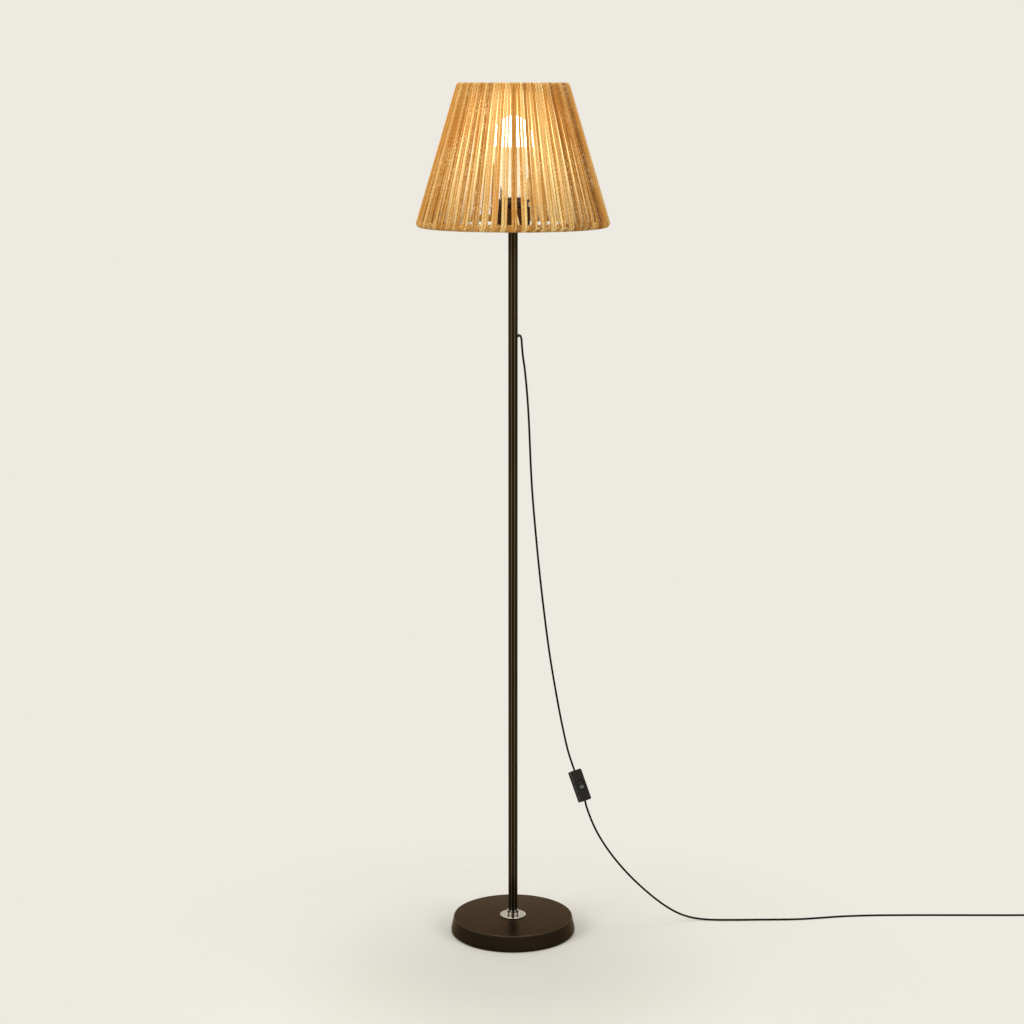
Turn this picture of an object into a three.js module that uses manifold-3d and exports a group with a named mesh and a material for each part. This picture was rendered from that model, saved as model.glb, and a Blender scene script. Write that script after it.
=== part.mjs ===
// A floor lamp with a cord-wound conical shade, in millimetres and +Z up.
// The origin is on the floor under the middle of the round base. The cord leaves the pole towards +X.
import * as THREE from "three";
import { mergeVertices } from "three/addons/utils/BufferGeometryUtils.js";
import Module from "manifold-3d";

const wasm = await Module();
wasm.setup();

// Shared values
const gap = 0.3; // between pieces that rest on each other or meet face to face
const overrun = 4; // how far a cutter runs past what it cuts
const largeSides = 36;
const mediumSides = 24;
const smallSides = 20;
const rodSides = 14;
const cordSides = 8;

// Base
const baseHeight = 28.3;
const baseRadius = 109.6;
const baseFlare = 5; // from the top's edge out to the foot
const baseShoulder = 3.4;
const baseRimHeight = 6;
const coverWall = 1.2;
const coverRise = 1;
const padThickness = 2;
const pocketRadius = 16; // in the weight's underside, for the lower washer and nut
const pocketDepth = 13;
const studRadius = 5;
const studClearance = 0.3;
const washerRadius = 22.8;
const washerThickness = 1.8;
const washerEdge = 0.6;
const nutFlats = 19;
const nutHeight = 8;
const nutChamfer = 0.9;
const lowerWasherRadius = 13;
const lowerWasherThickness = 1.6;
const lowerNutFlats = 17;
const lowerNutHeight = 8;

// Pole
const poleRadius = 8.05;
const poleWall = 1.2;
const sectionLength = 400.8;
const sectionCount = 3;
const socketLength = 18;
const jointStudLength = 16;
const wireBoreRadius = 3; // the cord's way through the top plug
const glandDrop = 182; // below the pole's top
const glandTurn = 70; // degrees from +X towards +Y
const glandNeckRadius = 3;
const glandFlangeRadius = 5;
const glandFlangeThickness = 1.5;
const glandRootRadius = 4;
const glandTipRadius = 2.5;
const glandLength = 20; // taper, from the pole outwards

// Cup and lampholder
const cupRadius = 28.5;
const cupWall = 1.5;
const cupHeight = 36.7;
const cupFillet = 7;
const cupWasherRadius = 9;
const cupWasherThickness = 1.5;
const cupNutFlats = 15;
const cupNutHeight = 5;
const holderNeckRadius = 8;
const holderNeckHeight = 7;
const holderRadius = 19;
const holderWall = 2;
const holderBaseHeight = 15;
const holderFloorHeight = 11;
const skirtHeight = 27;
const flangeRadius = 26.7;
const flangeThickness = 3.5;
const flangeBevelWidth = 2.4; // leaves room for the shade's spokes, which slope down from their ring
const flangeBevelHeight = 1.1;
const flangeRise = 14; // from the skirt's foot to the flange's top
const insertHeight = 6;
const contactRadius = 3;
const contactThickness = 0.8;
const screwShellRadius = 13.5;
const screwShellWall = 0.5;
const screwShellHeight = 23;
const threadPitch = 3.63;
const threadDepth = 0.6;
const ringRadius = 28.5;
const ringHeight = 6.9;
const ringStep = 2.2; // the lower part of the ring is this much smaller in radius

// Bulb
const bulbContactRadius = 4.6;
const bulbContactHeight = 1.5;
const insulatorTipRadius = 5.5;
const insulatorHeight = 6.3;
const capRadius = 13.1;
const capWall = 0.5;
const capRise = 2.8; // of the cap's lower rim above the insulator's tip
const capHeight = 21.5;
const neckPlugDepth = 6;
const bulbRadius = 38;
const housingHeight = 83.7;
const housingWall = 2;
const domeHeight = 49.7;
const domeWall = 1.5;
const boardThickness = 1.6;
const boardDrop = 4;
// Radius shares of the bulb's largest radius against height shares of the housing
const housingShares = [
  [0.42, 0],
  [0.5, 0.14],
  [0.64, 0.36],
  [0.82, 0.64],
  [0.95, 0.86],
  [1, 1],
];

// Shade
const frameWireRadius = 2;
const lowerRingRadius = 156.6;
const upperRingRadius = 88.8;
const ringSpan = 225.7;
const fitterRadius = 24;
const fitterRise = 30.5; // above the shade's lower ring
const spokeCount = 3;
const spokeRise = 1.4; // of a spoke's outer end above the lower ring's middle
const ribCount = 6;
const strandCount = 60;
const strandWidth = 9.6; // two cords side by side
const strandThickness = 4.2;
const strandClearance = 0.4; // between the winding and the wire that it goes round
const strandTurn = 0.8; // degrees from the lamp's front, towards +X
const windingCount = 10;
const crossingWidthShare = 1.35; // a strand's width along the lower ring where it crosses under it aslant
const pitchWidthShare = 0.92; // widest that a strand may be, as a share of the room per strand
const turnShare = 0.25; // of a strand's pitch that its foot turns aside to cross the ring
const runOverShare = 0.25; // of the winding's offset that a run goes past the ring's middle

// Free cord, switch and plug
const cordRadius = 1.8;
const switchLength = 57;
const switchWidth = 21.4;
const switchThickness = 15;
const switchCorner = 2.6;
const switchBevel = 1.6;
const switchWall = 1.8;
const switchEndWall = 6.5; // grips the cord at each end
const switchPlace = [119, 45, 253.6];
const switchLean = 20.3; // degrees from upright, its foot towards +X
const switchNod = 18; // degrees that its head leans back, towards +Y
const switchRoll = 28; // degrees about its own length
const rockerWidth = 8.4;
const rockerLength = 15;
const rockerHeight = 5;
const rockerDepth = 2.6; // below its pivot
const rockerDip = 1.1; // of the middle below the raised ends
const rockerClearance = 0.5;
const rockerTilt = 9; // degrees each way from level
const pivotDepth = 4.6; // below the switch's face
const pivotRadius = 1.2;
const switchScrewRadius = 2.1;
const switchShankRadius = 1.1;
const switchScrewPlace = 19.5; // from the middle of the switch towards its foot
const switchBossRadius = 3.2;
const switchContactWidth = 5;
const switchContactThickness = 0.7;
const switchContactLength = 9;
const switchContactHeight = 3.2;
const coilRadius = 24; // of the cord's middle in the outermost turn
const coilPlace = [964, 43.5];
const coilPitch = 4.1;
const coilTurns = 4.25;
const coilReverse = 2.25; // turns before the spiral runs out again
const coilClimbStart = 2;
const coilClimb = 0.5;
const coilSteps = 24; // for each turn
const coilLead = 4.5; // straight stretch at each end
const coilTail = 14;
const tieWall = 0.5;
const tieWidth = 5;
const tieTurn = 225; // degrees, where the tie holds the coil
const plugLength = 35;
const plugWidth = 35;
const plugTailWidth = 15;
const plugShoulder = 13;
const plugThickness = 13.7;
const plugBevel = 2;
const reliefLength = 24;
const reliefRootRadius = 4.8;
const reliefTipRadius = 2.7;
const pinRadius = 2;
const pinLength = 19;
const pinSpacing = 19;
const pinSeat = 6;
const pinTip = 0.8;

// The cord's route, chosen by hand. Its first and last points come from the gland, the switch and the coil.
const upperRoute = [
  [12.4, 34, 1058.8],
  [14.4, 40.4, 1052.6],
  [15.4, 44, 1040],
  [17, 45.2, 1022.5],
  [20, 45.7, 1001.7],
  [24.1, 46.8, 959.9],
  [27, 48.8, 917.8],
  [29, 51.6, 875.4],
  [30.8, 55, 832.6],
  [33.2, 58.8, 789.6],
  [36.5, 62.8, 746.3],
  [44.5, 70.6, 658.8],
  [54.2, 77, 570.7],
  [65.7, 80.2, 482.4],
  [80.5, 77.2, 395],
  [89, 72.2, 352.1],
  [98.9, 64, 310],
];
const lowerRoute = [
  [130.6, 33.1, 219.1],
  [138.1, 28, 198.9],
  [147.6, 24.2, 177.9],
  [160, 21.4, 156.5],
  [174.9, 20, 134.6],
  [192.4, 20, 112.3],
  [212.6, 22, 89.2],
  [235.8, 26.4, 65.4],
  [261.8, 33, 41.3],
  [282.3, 38.8, 25.1],
  [300.8, 43.6, 13.6],
  [319, 46.4, 6.4],
  [337.1, 46.6, 3],
  [355, 45.4, 1.9],
  [373, 44.2, 1.9],
  [409, 44.2, 1.9],
  [445.3, 45.3, 1.9],
  [481.2, 45.8, 1.9],
  [517.5, 48, 1.9],
  [554.5, 54, 1.9],
  [591.8, 61, 1.9],
  [646.7, 66.2, 1.9],
  [700, 67.6, 1.9],
  [780, 67.8, 1.9],
  [860, 67.5, 1.9],
  [915, 67.5, 1.95],
];
const upperSteps = 32;
const lowerSteps = 36;
const innerSteps = 10;

// Heights that follow from the sizes above
const baseTopRadius = baseRadius - baseFlare;
const weightBottom = padThickness + gap;
const weightTop = baseHeight - coverWall - gap;
const pocketTop = weightBottom + pocketDepth;
const washerBottom = baseHeight + gap;
const nutBottom = washerBottom + washerThickness + gap;
const poleFoot = nutBottom + nutHeight + gap;
const sectionFoot = (index) => poleFoot + index * (sectionLength + gap);
const poleTop = sectionFoot(sectionCount - 1) + sectionLength;
const poleBore = poleRadius - poleWall;
const glandHeight = poleTop - glandDrop;
const cupBottom = poleTop + gap;
const cupTop = cupBottom + cupHeight;
const cupWasherBottom = cupBottom + cupWall + gap;
const cupNutBottom = cupWasherBottom + cupWasherThickness + gap;
const holderBottom = cupNutBottom + cupNutHeight + gap;
const holderFloor = holderBottom + holderFloorHeight;
const skirtBottom = holderBottom + holderBaseHeight + gap;
const skirtTop = skirtBottom + skirtHeight;
const flangeTop = skirtBottom + flangeRise;
const insertBottom = holderFloor + gap;
const insertTop = insertBottom + insertHeight;
const topStudTop = holderBottom + holderNeckHeight;
const fitterHeight = flangeTop + gap + frameWireRadius;
const ringBottom = fitterHeight + frameWireRadius + gap;
const lowerRingHeight = fitterHeight - fitterRise;
const bulbTip = insertTop + gap + contactThickness + gap;
const insulatorBottom = bulbTip + bulbContactHeight + gap;
const capBottom = insulatorBottom + capRise;
const housingBottom = capBottom + capHeight + gap;
const housingTop = housingBottom + housingHeight;
const domeBottom = housingTop + gap;
const coilLow = tieWall + gap + cordRadius;
const coilHigh = coilLow + coilPitch;

const radians = THREE.MathUtils.degToRad;
const lamp = new THREE.Group();

// Finishes
const finish = (color, roughness, metalness) => new THREE.MeshStandardMaterial({ color, roughness, metalness });
const bronze = finish(0x43372c, 0.42, 0.35);
const chrome = finish(0xc9cbcc, 0.12, 1);
const steel = finish(0x9a9a98, 0.4, 1);
const cement = finish(0x8b8881, 0.9, 0);
const felt = finish(0x23211f, 0.95, 0);
const brass = finish(0xb6924a, 0.35, 1);
const white = finish(0xf1eee6, 0.5, 0);
const ceramic = finish(0xe9e6dd, 0.35, 0);
const glowing = finish(0xfff4dd, 0.6, 0);
const rattan = finish(0xc99a60, 0.8, 0);
const wire = finish(0x2c2620, 0.5, 0.6);
const black = finish(0x2b2a29, 0.6, 0);

function add(name, geometry, material, group = lamp) {
  const mesh = new THREE.Mesh(geometry, material.clone());
  mesh.name = name;
  group.add(mesh);
  return mesh;
}

// Signed volume of a closed mesh without an index
function volumeOf(position) {
  const [a, b, c] = [new THREE.Vector3(), new THREE.Vector3(), new THREE.Vector3()];
  let sum = 0;
  for (let i = 0; i < position.count; i += 3) {
    a.fromBufferAttribute(position, i);
    b.fromBufferAttribute(position, i + 1);
    c.fromBufferAttribute(position, i + 2);
    sum += a.dot(b.cross(c)) / 6;
  }
  return sum;
}

// The same closed mesh with its faces pointing out
function facedOut(geometry) {
  const flat = geometry.index ? geometry.toNonIndexed() : geometry.clone();
  const position = flat.getAttribute("position");
  if (volumeOf(position) < 0) {
    const [b, c] = [new THREE.Vector3(), new THREE.Vector3()];
    for (let i = 0; i < position.count; i += 3) {
      b.fromBufferAttribute(position, i + 1);
      c.fromBufferAttribute(position, i + 2);
      position.setXYZ(i + 1, c.x, c.y, c.z);
      position.setXYZ(i + 2, b.x, b.y, b.z);
    }
  }
  flat.computeVertexNormals();
  return flat;
}

function toSolid(geometry) {
  const faced = facedOut(geometry);
  faced.deleteAttribute("normal");
  faced.deleteAttribute("uv");
  const merged = mergeVertices(faced, 1e-4);
  const vertProperties = merged.getAttribute("position").array;
  const triVerts = new Uint32Array(merged.index.array);
  return new wasm.Manifold(new wasm.Mesh({ numProp: 3, vertProperties, triVerts }));
}

function toGeometry(solid) {
  const mesh = solid.getMesh();
  const geometry = new THREE.BufferGeometry();
  geometry.setAttribute("position", new THREE.BufferAttribute(new Float32Array(mesh.vertProperties), 3));
  geometry.setIndex(new THREE.BufferAttribute(new Uint32Array(mesh.triVerts), 1));
  return facedOut(geometry);
}

const joined = (first, ...others) => toGeometry(others.reduce((sum, g) => sum.add(toSolid(g)), toSolid(first)));
const without = (first, ...others) => toGeometry(others.reduce((sum, g) => sum.subtract(toSolid(g)), toSolid(first)));
const common = (first, second) => toGeometry(toSolid(first).intersect(toSolid(second)));

// A body turned about the Z axis from [radius, height] points. A profile off the axis is closed here.
function turned(profile, sides) {
  const onAxis = profile[0][0] === 0 && profile[profile.length - 1][0] === 0;
  const points = (onAxis ? profile : [...profile, profile[0]]).map(([r, z]) => new THREE.Vector2(r, z));
  const geometry = new THREE.LatheGeometry(points, sides);
  return facedOut(geometry.rotateX(Math.PI / 2));
}

// A plain ring or sleeve
function sleeve(inner, outer, bottom, top, sides) {
  return turned([[inner, bottom], [outer, bottom], [outer, top], [inner, top]], sides);
}

// Points on an arc in the plane of a profile, angles in degrees
function arc(r, z, radius, from, to, steps) {
  const points = [];
  for (let i = 0; i <= steps; i++) {
    const angle = radians(from + ((to - from) * i) / steps);
    points.push([r + radius * Math.cos(angle), z + radius * Math.sin(angle)]);
  }
  return points;
}

function roundShape(radius, sides, turn = 0) {
  const points = [];
  for (let i = 0; i < sides; i++) {
    const angle = turn + (2 * Math.PI * i) / sides;
    points.push(new THREE.Vector2(radius * Math.cos(angle), radius * Math.sin(angle)));
  }
  return new THREE.Shape(points);
}

// A straight round rod between two points
function rodBetween(from, to, radius, sides) {
  const geometry = new THREE.CylinderGeometry(radius, radius, from.distanceTo(to), sides);
  const along = new THREE.Vector3().subVectors(to, from).normalize();
  geometry.applyQuaternion(new THREE.Quaternion().setFromUnitVectors(new THREE.Vector3(0, 1, 0), along));
  const middle = new THREE.Vector3().addVectors(from, to).multiplyScalar(0.5);
  return geometry.translate(middle.x, middle.y, middle.z);
}

// A hexagon nut with a corner towards the front and chamfered corners
function hexNut(flats, bore, bottom, height, chamfer) {
  const cornerRadius = flats / Math.sqrt(3);
  const shape = roundShape(cornerRadius, 6, Math.PI / 2);
  const prism = new THREE.ExtrudeGeometry(shape, { depth: height, bevelEnabled: false });
  prism.translate(0, 0, bottom);
  const cone = turned(
    [
      [bore, bottom - chamfer],
      [cornerRadius - chamfer, bottom],
      [cornerRadius, bottom + chamfer * 0.5],
      [cornerRadius, bottom + height - chamfer * 0.5],
      [cornerRadius - chamfer, bottom + height],
      [bore, bottom + height + chamfer],
    ],
    rodSides,
  );
  return common(prism, cone);
}

const upright = (radial, turn, height) =>
  new THREE.Vector3(radial * Math.cos(turn), radial * Math.sin(turn), height);

// Base

function baseCover() {
  const hole = studRadius + studClearance;
  const shoulderMiddle = baseHeight - baseShoulder;
  const outer = arc(baseTopRadius - baseShoulder, shoulderMiddle, baseShoulder, 90, 10, 2);
  const inner = arc(baseTopRadius - baseShoulder, shoulderMiddle, baseShoulder - coverWall, 10, 90, 2);
  return turned(
    [
      [hole, baseHeight],
      ...outer,
      [baseRadius, coverRise + baseRimHeight],
      [baseRadius, coverRise],
      [baseRadius - coverWall, coverRise],
      [baseRadius - coverWall, coverRise + baseRimHeight],
      ...inner,
      [hole, baseHeight - coverWall],
    ],
    largeSides,
  );
}

function baseWeight() {
  const hole = studRadius + studClearance;
  const footRadius = baseRadius - coverWall - gap;
  const topRadius = baseTopRadius - baseShoulder - gap;
  return turned(
    [
      [pocketRadius, weightBottom],
      [footRadius, weightBottom],
      [footRadius, coverRise + baseRimHeight - gap],
      [topRadius, weightTop],
      [hole, weightTop],
      [hole, pocketTop],
      [pocketRadius, pocketTop],
    ],
    largeSides,
  );
}

function buildBase() {
  const hole = studRadius + studClearance;
  add("base_cover", baseCover(), bronze);
  add("base_weight", baseWeight(), cement);
  add("base_pad", turned([[0, 0], [baseRadius - coverWall - gap, 0], [baseRadius - coverWall - gap, padThickness], [0, padThickness]], largeSides), felt);
  const lowerWasherBottom = pocketTop - gap - lowerWasherThickness;
  const lowerNutBottom = lowerWasherBottom - gap - lowerNutHeight;
  const studTop = poleFoot + socketLength - gap;
  add("base_stud", turned([[0, lowerNutBottom], [studRadius, lowerNutBottom], [studRadius, studTop], [0, studTop]], rodSides), steel);
  add("lower_washer", sleeve(hole, lowerWasherRadius, lowerWasherBottom, lowerWasherBottom + lowerWasherThickness, smallSides), steel);
  add("lower_nut", hexNut(lowerNutFlats, hole, lowerNutBottom, lowerNutHeight, nutChamfer), steel);
  const washerTop = washerBottom + washerThickness;
  const washer = [
    [hole, washerBottom],
    [washerRadius, washerBottom],
    [washerRadius, washerTop - washerEdge],
    [washerRadius - washerEdge, washerTop],
    [hole, washerTop],
  ];
  add("base_washer", turned(washer, mediumSides), chrome);
  add("base_nut", hexNut(nutFlats, hole, nutBottom, nutHeight, nutChamfer), chrome);
}

// Pole

const outward = new THREE.Vector3(Math.cos(radians(glandTurn)), Math.sin(radians(glandTurn)), 0);

function poleSection(index) {
  return sleeve(poleBore, poleRadius, sectionFoot(index), sectionFoot(index) + sectionLength, smallSides);
}

function upperPole() {
  const start = upright(0, 0, glandHeight);
  const end = start.clone().addScaledVector(outward, poleRadius + overrun);
  return without(poleSection(sectionCount - 1), rodBetween(start, end, glandNeckRadius + gap, rodSides));
}

function poleSocket(bottom) {
  return sleeve(studRadius + studClearance, poleBore - gap, bottom, bottom + socketLength, rodSides);
}

function jointPlug(top) {
  const bottom = top - socketLength;
  const tip = top + jointStudLength;
  return turned([[0, bottom], [poleBore - gap, bottom], [poleBore - gap, top], [studRadius, top], [studRadius, tip], [0, tip]], rodSides);
}

function topPlug() {
  const bottom = poleTop - socketLength;
  return turned(
    [
      [wireBoreRadius, bottom],
      [poleBore - gap, bottom],
      [poleBore - gap, poleTop],
      [studRadius, poleTop],
      [studRadius, topStudTop],
      [wireBoreRadius, topStudTop],
    ],
    rodSides,
  );
}

// The strain relief stands on the pole and points outwards.
function cordGland() {
  const neckEnd = poleBore - poleWall;
  const flangeFoot = poleRadius + gap;
  const flangeFace = flangeFoot + glandFlangeThickness;
  const profile = [
    [0, neckEnd],
    [glandNeckRadius, neckEnd],
    [glandNeckRadius, flangeFoot],
    [glandFlangeRadius, flangeFoot],
    [glandFlangeRadius, flangeFace],
    [glandRootRadius, flangeFace],
    [glandTipRadius, poleRadius + glandLength],
    [0, poleRadius + glandLength],
  ];
  const geometry = turned(profile, rodSides);
  geometry.applyQuaternion(new THREE.Quaternion().setFromUnitVectors(new THREE.Vector3(0, 0, 1), outward));
  return geometry.translate(0, 0, glandHeight);
}

// Places of the inner cord near the gland: shares of the pole's bore outwards and upwards
const innerCordShares = [
  [0.34, 0.04],
  [-0.1, 0.4],
  [-0.24, 1.1],
  [-0.06, 2.4],
  [0, 4.5],
];

function innerCord() {
  const start = poleBore - poleWall - gap;
  const points = [[start, 0], ...innerCordShares.map(([out, up]) => [out * poleBore, up * poleBore])].map(([out, up]) =>
    upright(0, 0, glandHeight + up).addScaledVector(outward, out),
  );
  const top = holderFloor - holderWall - gap;
  const middle = (glandHeight + top) / 2;
  points.push(upright(0, 0, middle), upright(0, 0, top));
  return cordTube(points, innerSteps);
}

function buildPole() {
  add("pole_lower", poleSection(0), bronze);
  add("pole_middle", poleSection(1), bronze);
  add("pole_upper", upperPole(), bronze);
  add("foot_socket", poleSocket(sectionFoot(0)), steel);
  add("joint_plug_1", jointPlug(sectionFoot(0) + sectionLength), steel);
  add("joint_socket_1", poleSocket(sectionFoot(1)), steel);
  add("joint_plug_2", jointPlug(sectionFoot(1) + sectionLength), steel);
  add("joint_socket_2", poleSocket(sectionFoot(2)), steel);
  add("top_plug", topPlug(), steel);
  add("cord_gland", cordGland(), black);
  add("inner_cord", innerCord(), black);
}

// Cup and lampholder

function lampCup() {
  const inner = arc(cupRadius - cupFillet, cupBottom + cupFillet, cupFillet - cupWall, 0, -90, 3);
  const outer = arc(cupRadius - cupFillet, cupBottom + cupFillet, cupFillet, -90, 0, 3);
  const hole = studRadius + studClearance;
  return turned([[hole, cupBottom], ...outer, [cupRadius, cupTop], [cupRadius - cupWall, cupTop], ...inner, [hole, cupBottom + cupWall]], mediumSides);
}

function holderBase() {
  const hole = studRadius + studClearance;
  const top = holderBottom + holderBaseHeight;
  const bore = holderRadius - holderWall;
  return turned(
    [
      [hole, holderBottom],
      [holderNeckRadius, holderBottom],
      [holderNeckRadius, holderBottom + holderNeckHeight],
      [holderRadius, holderFloor],
      [holderRadius, top],
      [bore, top],
      [bore, holderFloor],
      [hole, holderFloor],
    ],
    smallSides,
  );
}

function holderSkirt() {
  const bore = holderRadius - holderWall;
  return turned(
    [
      [bore, skirtBottom],
      [holderRadius, skirtBottom],
      [holderRadius, flangeTop - flangeThickness],
      [flangeRadius, flangeTop - flangeThickness],
      [flangeRadius, flangeTop - flangeBevelHeight],
      [flangeRadius - flangeBevelWidth, flangeTop],
      [holderRadius, flangeTop],
      [holderRadius, skirtTop],
      [bore, skirtTop],
    ],
    mediumSides,
  );
}

// Points of a rolled thread, up a wall of a given radius
function threadProfile(radius, bottom, top, depth) {
  const points = [[radius, bottom]];
  const crests = Math.floor((top - bottom) / threadPitch - 0.5);
  for (let i = 0; i < crests; i++) {
    const foot = bottom + threadPitch * (i + 0.5);
    points.push([radius, foot], [radius - depth, foot + threadPitch / 2]);
  }
  points.push([radius, bottom + threadPitch * (crests + 0.5)], [radius, top]);
  return points;
}

function screwShell() {
  const bottom = insertTop + gap;
  const top = bottom + screwShellHeight;
  const outer = screwShellRadius + threadDepth + screwShellWall;
  const inside = threadProfile(outer - screwShellWall, bottom, top, threadDepth).reverse();
  return turned([[outer, bottom], [outer, top], ...inside], rodSides);
}

function shadeRing() {
  const bore = holderRadius + gap;
  const top = ringBottom + ringHeight;
  return turned(
    [
      [bore, ringBottom],
      [ringRadius - ringStep, ringBottom],
      [ringRadius - ringStep, ringBottom + ringStep],
      [ringRadius, ringBottom + ringStep],
      [ringRadius, top],
      [bore, top],
    ],
    mediumSides,
  );
}

function buildHolder() {
  const hole = studRadius + studClearance;
  add("lamp_cup", lampCup(), bronze);
  add("cup_washer", sleeve(hole, cupWasherRadius, cupWasherBottom, cupWasherBottom + cupWasherThickness, rodSides), steel);
  add("cup_nut", hexNut(cupNutFlats, hole, cupNutBottom, cupNutHeight, nutChamfer), steel);
  add("holder_base", holderBase(), black);
  add("holder_skirt", holderSkirt(), black);
  const insertRadius = holderRadius - holderWall - gap;
  add("holder_insert", turned([[0, insertBottom], [insertRadius, insertBottom], [insertRadius, insertTop], [0, insertTop]], smallSides), ceramic);
  add("screw_shell", screwShell(), brass);
  const contactFoot = insertTop + gap;
  const contactTop = contactFoot + contactThickness;
  add("centre_contact", turned([[0, contactFoot], [contactRadius, contactFoot], [contactRadius, contactTop], [0, contactTop]], rodSides), brass);
  add("shade_ring", shadeRing(), bronze);
}

// Bulb

// Radius of the housing's outside at a share of its height
function housingRadius(share) {
  const next = Math.max(1, housingShares.findIndex(([, height]) => height >= share));
  const [r0, h0] = housingShares[next - 1];
  const [r1, h1] = housingShares[next];
  return bulbRadius * (r0 + ((r1 - r0) * (share - h0)) / (h1 - h0));
}

function bulbHousing() {
  const plugRadius = capRadius - threadDepth - capWall - gap;
  const plugBottom = housingBottom - neckPlugDepth;
  const outer = housingShares.map(([r, h]) => [bulbRadius * r, housingBottom + housingHeight * h]);
  const inner = outer.slice(1).map(([r, z]) => [r - housingWall, z]).reverse();
  return turned([[0, plugBottom], [plugRadius, plugBottom], [plugRadius, housingBottom], ...outer, ...inner, [0, inner[inner.length - 1][1]]], smallSides);
}

function bulbDome() {
  const steps = 6;
  const inside = [];
  const outside = [];
  for (let i = 0; i <= steps; i++) {
    const angle = (Math.PI / 2) * (i / steps);
    const across = i === steps ? 0 : Math.cos(angle);
    inside.push([(bulbRadius - domeWall) * across, domeBottom + (domeHeight - domeWall) * Math.sin(angle)]);
    outside.push([bulbRadius * across, domeBottom + domeHeight * Math.sin(angle)]);
  }
  return turned([...inside.reverse(), ...outside], smallSides);
}

function bulbCap() {
  const top = capBottom + capHeight;
  const bore = capRadius - threadDepth - capWall;
  const outside = threadProfile(capRadius, capBottom, top, threadDepth);
  return turned([[bore, capBottom], ...outside, [bore, top]], rodSides);
}

function bulbInsulator() {
  const radius = capRadius - threadDepth - capWall - gap;
  const top = insulatorBottom + insulatorHeight;
  const rim = capBottom - gap;
  return turned([[0, insulatorBottom], [insulatorTipRadius, insulatorBottom], [radius, rim], [radius, top], [0, top]], rodSides);
}

function buildBulb() {
  const contactTop = bulbTip + bulbContactHeight;
  const tipRadius = bulbContactRadius - bulbContactHeight;
  add("bulb_contact", turned([[0, bulbTip], [tipRadius, bulbTip], [bulbContactRadius, contactTop], [0, contactTop]], rodSides), steel);
  add("bulb_insulator", bulbInsulator(), black);
  add("bulb_cap", bulbCap(), steel);
  add("bulb_housing", bulbHousing(), white);
  const boardFoot = housingTop - boardDrop;
  const boardRadius = housingRadius((boardFoot - housingBottom) / housingHeight) - housingWall - gap;
  const boardTop = boardFoot + boardThickness;
  add("bulb_board", turned([[0, boardFoot], [boardRadius, boardFoot], [boardRadius, boardTop], [0, boardTop]], smallSides), ceramic);
  add("bulb_dome", bulbDome(), glowing);
}

// Shade

const wallSlope = new THREE.Vector2(upperRingRadius - lowerRingRadius, ringSpan).normalize();
const windingOffset = frameWireRadius + strandClearance + strandThickness / 2;
const strandPitch = (2 * Math.PI) / strandCount;
const frontTurn = radians(strandTurn - 90);
const lowerRing = [lowerRingRadius, lowerRingHeight];
const upperRing = [upperRingRadius, lowerRingHeight + ringSpan];

// The turning points of one loop: which ring, how far off it across and along the wall,
// how far round from the strand's middle, as a share of the pitch, and the share of the full width
const loopStations = [
  [lowerRing, 1 / Math.sqrt(3), -1, -turnShare, crossingWidthShare],
  [lowerRing, 1, -runOverShare, 0, 1],
  [upperRing, 1, runOverShare, 0, 1],
  [upperRing, 1 / Math.sqrt(3), 1, 0, 1],
  [upperRing, -1 / Math.sqrt(3), 1, 0, 1],
  [upperRing, -1, runOverShare, 0, 1],
  [lowerRing, -1, -runOverShare, 0, 1],
  [lowerRing, -1 / Math.sqrt(3), -1, turnShare, crossingWidthShare],
];

// The middle of the strand, the way round the lamp and the width at one turning point of a loop
function strandPoint(station, loop) {
  const [[ringR, ringZ], across, along, aside, widthShare] = station;
  const turn = frontTurn + (loop + aside) * strandPitch;
  const r = ringR + windingOffset * (across * wallSlope.y + along * wallSlope.x);
  const z = ringZ + windingOffset * (along * wallSlope.y - across * wallSlope.x);
  const width = Math.min(strandWidth * widthShare, pitchWidthShare * r * strandPitch);
  return { middle: upright(r, turn, z), round: upright(1, turn + Math.PI / 2, 0), width };
}

// A flat four-sided section. Its long sides lie along the ring, and it halves the strand's bend.
function strandSection(point, before, after) {
  const within = (from, to) => new THREE.Vector3().subVectors(to, from).projectOnPlane(point.round).normalize();
  const back = within(before.middle, point.middle);
  const ahead = within(point.middle, after.middle);
  const along = back.clone().add(ahead).normalize();
  const out = new THREE.Vector3().crossVectors(point.round, along);
  const half = strandThickness / 2 / along.dot(ahead);
  const w = point.width / 2;
  const corners = [[w, half], [-w, half], [-w, -half], [w, -half]];
  return corners.map(([a, b]) => point.middle.clone().addScaledVector(point.round, a).addScaledVector(out, b));
}

// Where a winding ends: under the lower ring, half a gap from its neighbour's end
function strandEnd(from, to) {
  const crossing = (2 * windingOffset) / Math.sqrt(3);
  const middle = from.middle.clone().lerp(to.middle, 0.5 - gap / 2 / crossing);
  const round = from.round.clone().add(to.round).normalize();
  return { middle, round, width: from.width };
}

// The rings of points of one winding's unbroken strand
function windingSections(firstLoop, loops) {
  const first = strandPoint(loopStations[0], firstLoop);
  const previous = strandPoint(loopStations[loopStations.length - 1], firstLoop - 1);
  const last = strandPoint(loopStations[loopStations.length - 1], firstLoop + loops - 1);
  const next = strandPoint(loopStations[0], firstLoop + loops);
  const points = [strandEnd(first, previous)];
  for (let loop = firstLoop; loop < firstLoop + loops; loop++)
    for (const station of loopStations) points.push(strandPoint(station, loop));
  points.push(strandEnd(last, next));
  return points.map((point, i) => {
    const before = points[i - 1] ?? previous;
    const after = points[i + 1] ?? next;
    return strandSection(point, before, after);
  });
}

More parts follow.
